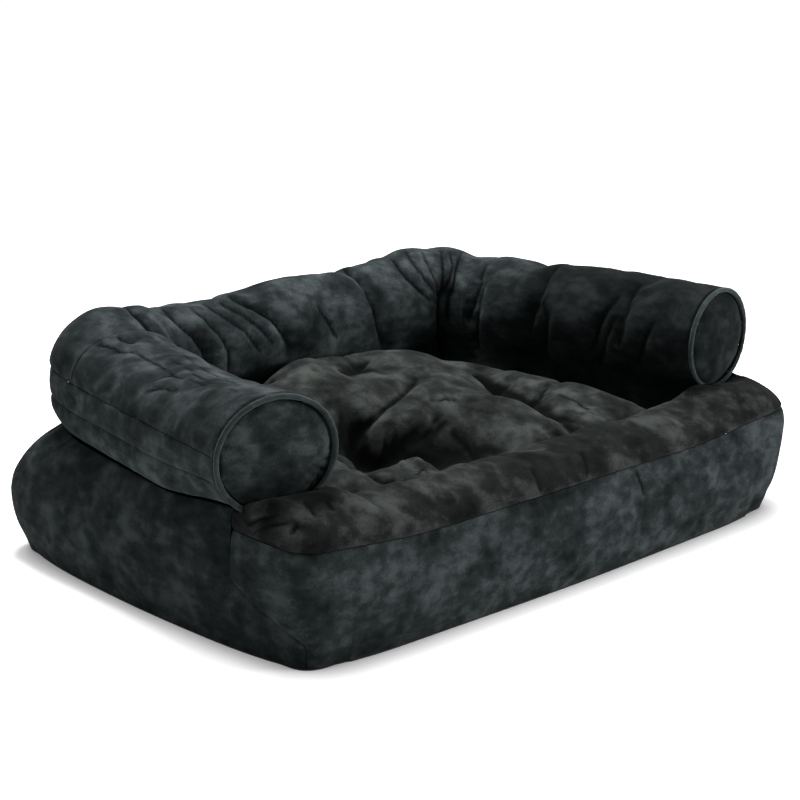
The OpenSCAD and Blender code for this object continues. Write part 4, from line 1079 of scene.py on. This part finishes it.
# Heights of the rumpled top at places read off the photograph: x, y, z
TOP_MARKS = np.array([
    (-235, 150, 186), (-185, 160, 214), (-135, 165, 238), (-85, 166, 255), (-40, 168, 260),
    (10, 168, 255), (65, 166, 242), (110, 164, 228), (170, 160, 206), (235, 150, 188),
    (-250, 95, 182), (-175, 100, 222), (-100, 100, 246), (-5, 104, 232), (70, 92, 236),
    (130, 85, 222), (172, 62, 192), (218, 78, 194), (275, 80, 186),
    (-270, 20, 180), (-205, 22, 206), (-135, 30, 222), (-62, 40, 226), (20, 30, 226),
    (90, 22, 222), (138, 12, 210), (176, 0, 176), (236, 10, 194), (295, 0, 182),
    (-290, -60, 174), (-222, -50, 180), (-178, -60, 164), (-142, -60, 140), (-98, -46, 196),
    (-40, -44, 214), (30, -50, 220), (90, -60, 210), (132, -72, 201), (168, -84, 168),
    (230, -70, 194), (315, -60, 178),
    (-300, -130, 174), (-212, -108, 182), (-168, -100, 158), (-112, -98, 150), (-52, -96, 168),
    (0, -108, 192), (60, -122, 205), (112, -132, 196), (150, -150, 168), (212, -140, 190),
    (305, -140, 176),
    (-300, -195, 172), (-226, -180, 182), (-172, -178, 166), (-112, -166, 166), (-52, -160, 152),
    (2, -178, 170), (60, -190, 182), (106, -205, 182), (142, -210, 166), (200, -200, 178),
    (300, -200, 170)], float)


def thin_plate(marks, px, py, soften=30.0):
    """A smooth height near the marks. soften lets it miss them a little."""
    def kernel(r2):
        r2 = r2 + 1e-6
        return 0.5 * r2 * np.log(r2)
    x, y, z = marks.T
    n = len(marks)
    k = kernel((x[:, None] - x) ** 2 + (y[:, None] - y) ** 2) + soften * np.eye(n)
    p = np.stack([np.ones(n), x, y], axis=1)
    full = np.block([[k, p], [p.T, np.zeros((3, 3))]])
    c = np.linalg.solve(full, np.concatenate([z, np.zeros(3)]))
    out = c[n] + c[n + 1] * px + c[n + 2] * py
    for i in range(n):
        out = out + c[i] * kernel((px - x[i]) ** 2 + (py - y[i]) ** 2)
    return out


def cushion_plan(u, v):
    """The cushion's plan, which follows the arms: u and v run from -1 to 1 over it."""
    y = CUSHION_MID_Y + v * CUSHION_HALF_D
    from_end = np.abs(v) * CUSHION_HALF_D - (CUSHION_HALF_D - CUSHION_CORNER)
    cut = unit(from_end / CUSHION_CORNER)
    corner = CUSHION_CORNER * (1 - np.sqrt(unit(1 - cut * cut)))
    return u * (well_half_x(y, ARM_R + CUSHION_GAP) - corner), y


def edge_round(u, v, power):
    """1 over the cushion, falling to 0 at its seam: the higher the power, the steeper."""
    return np.sqrt(unit(1 - np.abs(u) ** power)) * np.sqrt(unit(1 - np.abs(v) ** power))


def bunched(n):
    """Places from -1 to 1 that stand closer together by the ends."""
    reach = math.pi / 2 * 0.86
    return np.sin(np.linspace(-1, 1, n) * math.pi / 2 * 0.86) / math.sin(reach)


TOP_FOLDS = [
    fold(15, 6, (361, 458), (356, 448), (358, 437), (363, 427), (375, 413), (390, 400),
         (405, 388), (416, 378), lean=0.25, shut=0.8, fade=(0, 0.45)),
    fold(7, 5, (339, 454), (340, 430), (344, 410), fade=(0, 0.5)),
    fold(6, 4, (354, 456), (351, 436), (353, 418), fade=(0, 0.5)),
    fold(11, 6, (364, 462), (390, 449), (415, 437), (440, 424), (452, 415), lean=-0.3,
         fade=(0, 0.4)),
    fold(14, 8, (366, 462), (380, 461), (392, 455), (408, 451), (424, 453), (438, 461),
         (450, 470), shut=1.1, fade=(0, 0.2)),
    fold(9, 5, (372, 470), (384, 478), (396, 480), shut=0.9, fade=(0, 0.3)),
    fold(5, 4, (412, 474), (424, 467), (436, 480), fade=(0.2, 0.2)),
    fold(5, 4, (362, 460), (383, 446), (410, 431), (432, 419), (456, 404), fade=(0, 0.5)),
    fold(5, 5, (268, 386), (277, 373), (288, 362), (302, 351)),
    fold(5, 5, (256, 380), (266, 367), (282, 354)),
    fold(6, 6, (338, 368), (348, 371), (358, 369), (370, 358)),
    fold(10, 7, (472, 373), (488, 385), (501, 395), fade=(0.2, 0)),
    fold(6, 4, (530, 408), (542, 391), (556, 374), fade=(0, 0.4)),
    fold(8, 7, (452, 430), (464, 443), (477, 461), fade=(0.4, 0)),
    fold(8, 5, (338, 456), (352, 457), (362, 463), fade=(0.2, 0)),
    fold(-6, 6, (388, 472), (402, 466), (418, 461), (433, 478)),
    fold(3, 6, (430, 401), (445, 397), (460, 400)),
    fold(3, 7, (560, 395), (578, 400), (590, 410)),
]

uu, vv = mesh_grid(bunched(count(CUSHION_LONG)), bunched(count(CUSHION_DEEP)))
cx, cy = cushion_plan(uu, vv)
height = thin_plate(TOP_MARKS, cx, cy) - CUSHION_SEAM_Z
edge = edge_round(uu, vv, 9)
g = stack(cx, cy, CUSHION_SEAM_Z + edge * height)
depth, held, dark = creased(g, TOP_FOLDS, 1.8, deepest=30.0)
# Painted shade along the cushion's seam; more is painted in its creases and hollows.
dark = np.maximum(dark, 0.8 * bell(edge_gap(g), 8.0))
lift = swell(g, 70.0, 2.0, 81) + swell(g, 24.0, 0.8, 82)
g = puffed(lowered(g, (depth - lift) * edge), held, slack=0.06, limit=13.0, stiff=2.5,
           calmed=0.45)
dark = np.maximum(dark, hollow_shade(g, 8, 7.0))
g[..., 1] = np.minimum(g[..., 1], CUSHION_REAR)
piece(softened(sheet("cushion_top_cover", g, PLUSH_WARM, dark=dark)), "plush", "cushion",
      "cushion_top_panel", "cushion_fill", fill=0.7)

drop = edge_round(uu, vv, 16) * (CUSHION_SEAM_Z - CUSHION_LOW)
g = stack(cx, cy, CUSHION_SEAM_Z - 0.6 - drop)[::-1]
piece(sheet("cushion_bottom_cover", g, PLUSH), "plush", "cushion", "cushion_bottom_panel", fill=0.7)

# Zips

ACROSS_X = np.array([1.0, 0, 0])
TAPE_FACE = -SKIN_T - 1.5

# A coil tooth, on a foot and narrower at its top: along the zip, across it and out
TOOTH = [(-0.55, -2.8, 0.0), (0.55, -2.8, 0.0), (0.55, 0.9, 0.0), (-0.55, 0.9, 0.0),
         (-0.42, -2.5, 1.5), (0.42, -2.5, 1.5), (0.42, 0.6, 1.9), (-0.42, 0.6, 1.9)]
BOX = [(0, 3, 2, 1), (4, 5, 6, 7), (0, 1, 5, 4), (1, 2, 6, 5), (2, 3, 7, 6), (3, 0, 4, 7)]
PITCH = 2.0


def zip_frame(which):
    """Origin of a zip and its directions: out of the fabric, and across the tape."""
    if which == "cushion":
        at = np.array([0, CUSHION_REAR, CUSHION_SEAM_Z])
        return at, np.array([0, 1.0, 0]), np.array([0, 0, 1.0])
    tilt = math.atan(2 * FOOT_IN * (1 - ZIP_Z / BELLY_Z) / BELLY_Z)
    at = np.array([0, HALF_D - float(foot_in(np.array(ZIP_Z))), ZIP_Z])
    cos, sin = math.cos(tilt), math.sin(tilt)
    return at, np.array([0, cos, -sin]), np.array([0, sin, cos])


def closed_zip(which, length, body):
    """Tape and coil: small turned loops, first from one side of the chain, then from the other."""
    at, out, across = zip_frame(which)
    xs, hs = mesh_grid(np.linspace(length / 2 + 6, -length / 2 - 6, count(length, 6)),
                       np.linspace(-12, 12, 9))
    g = at + xs[..., None] * ACROSS_X + hs[..., None] * across + TAPE_FACE * out
    piece(sheet(which + "_zip_cloth", g, TAPE, thick=0.7), "zip_tape", body, which + "_zip_tape")
    verts, faces = [], []
    for i in range(int(length / PITCH)):
        x = -length / 2 + (i + 0.5) * PITCH
        side = 1 if i % 2 else -1
        k = len(verts)
        for tx, th, to in TOOTH:
            verts.append(at + np.array([x + tx, 0, 0]) + side * th * across
                         + (TAPE_FACE + to) * out)
        faces += [tuple(k + c for c in (f if side > 0 else f[::-1])) for f in BOX]
    coil = new_object(which + "_zip_coil", verts, faces, TEETH, smooth=False)
    piece(coil, "zip_teeth", body, which + "_zip_teeth")
    for part in ("stops", "slider", "pull"):
        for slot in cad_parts["%s_zip_%s" % (which, part)].material_slots:
            slot.material = METAL


closed_zip("base", 2 * ZIP_HALF, "bed")
closed_zip("cushion", CUSHION_ZIP, "cushion")

# Floor, light and camera

def emptied(owner):
    """The node tree of a material or world, with nothing in it."""
    owner.use_nodes = True
    owner.node_tree.nodes.clear()
    return owner.node_tree


def seen_plainly(tree):
    """1 for what the camera sees, straight or mirrored, and 0 for the light that lights the bed."""
    path = node(tree, "ShaderNodeLightPath")
    either = node(tree, "ShaderNodeMath", operation="MAXIMUM")
    join(tree, (path.outputs["Is Camera Ray"], either.inputs[0]),
         (path.outputs["Is Glossy Ray"], either.inputs[1]))
    return either.outputs["Value"]


def floor():
    """A pale floor that is white to the camera and keeps the bed's shadow, with a painted contact
    shadow.
    """
    mat = bpy.data.materials.new("floor_white")
    t = emptied(mat)
    out = node(t, "ShaderNodeOutputMaterial")
    diffuse = node(t, "ShaderNodeBsdfDiffuse", Color=(0.8, 0.8, 0.8, 1))
    glow = node(t, "ShaderNodeEmission", Color=(1, 1, 1, 1))
    # Painted contact shadow: the glow the camera sees dims where ambient occlusion finds the bed
    # close by.
    near = node(t, "ShaderNodeAmbientOcclusion", samples=12, Distance=0.07)
    shadow = node(t, "ShaderNodeMapRange", interpolation_type="SMOOTHSTEP", From_Min=0.3,
                  From_Max=0.97, To_Min=0.12, To_Max=1.0)
    level = node(t, "ShaderNodeMath", operation="MULTIPLY")
    both = node(t, "ShaderNodeAddShader")
    join(t, (near.outputs["AO"], shadow.inputs["Value"]),
         (seen_plainly(t), level.inputs[0]),
         (shadow.outputs["Result"], level.inputs[1]),
         (level.outputs["Value"], glow.inputs["Strength"]),
         (diffuse.outputs["BSDF"], both.inputs[0]),
         (glow.outputs["Emission"], both.inputs[1]),
         (both.outputs["Shader"], out.inputs["Surface"]))
    r = 30.0 / MM
    corners = [(-r, -r, 0), (r, -r, 0), (r, r, 0), (-r, r, 0)]
    new_object("floor", corners, [(0, 1, 2, 3)], mat, smooth=False)


floor()


def area(name, at, target, size, power):
    """A round lamp that faces the target, of that width in metres and power in watts."""
    obj = added(name, tune(bpy.data.lights.new(name, "AREA"), shape="DISK", size=size,
                           energy=power))
    obj.location = at
    obj.rotation_euler = (Vector(target) - Vector(at)).to_track_quat("-Z", "Y").to_euler()


area("top", (0.3, 0.85, 2.9), (0, 0, 0.15), 1.2, 115)
area("front", (1.9, -3.0, 0.9), (0, 0, 0.12), 1.2, 84)
area("left", (-2.3, -1.0, 2.9), (-0.3, 0, 0.25), 1.0, 21)


def studio():
    """A dim world that is white to the camera."""
    world = bpy.data.worlds.new("studio")
    bpy.context.scene.world = world
    t = emptied(world)
    out = node(t, "ShaderNodeOutputWorld")
    light = node(t, "ShaderNodeBackground", Color=(1, 1, 1, 1), Strength=0.05)
    white = node(t, "ShaderNodeBackground", Color=(1, 1, 1, 1), Strength=1.0)
    either = node(t, "ShaderNodeMixShader")
    join(t, (seen_plainly(t), either.inputs["Fac"]),
         (light.outputs["Background"], either.inputs[1]),
         (white.outputs["Background"], either.inputs[2]),
         (either.outputs["Shader"], out.inputs["Surface"]))


studio()

SENSOR_MM = 36.0
camera = added("camera", tune(bpy.data.cameras.new("camera"), sensor_width=SENSOR_MM,
                              clip_start=0.1, clip_end=100.0))
camera.data.lens = CAM_FOCAL_PX / IMAGE_PX * SENSOR_MM
camera.location = CAM_AT * MM
camera.rotation_euler = (math.pi / 2 + CAM_PITCH, 0, -CAM_YAW)
bpy.context.scene.camera = camera
bpy.context.scene.view_settings.view_transform = "Standard"
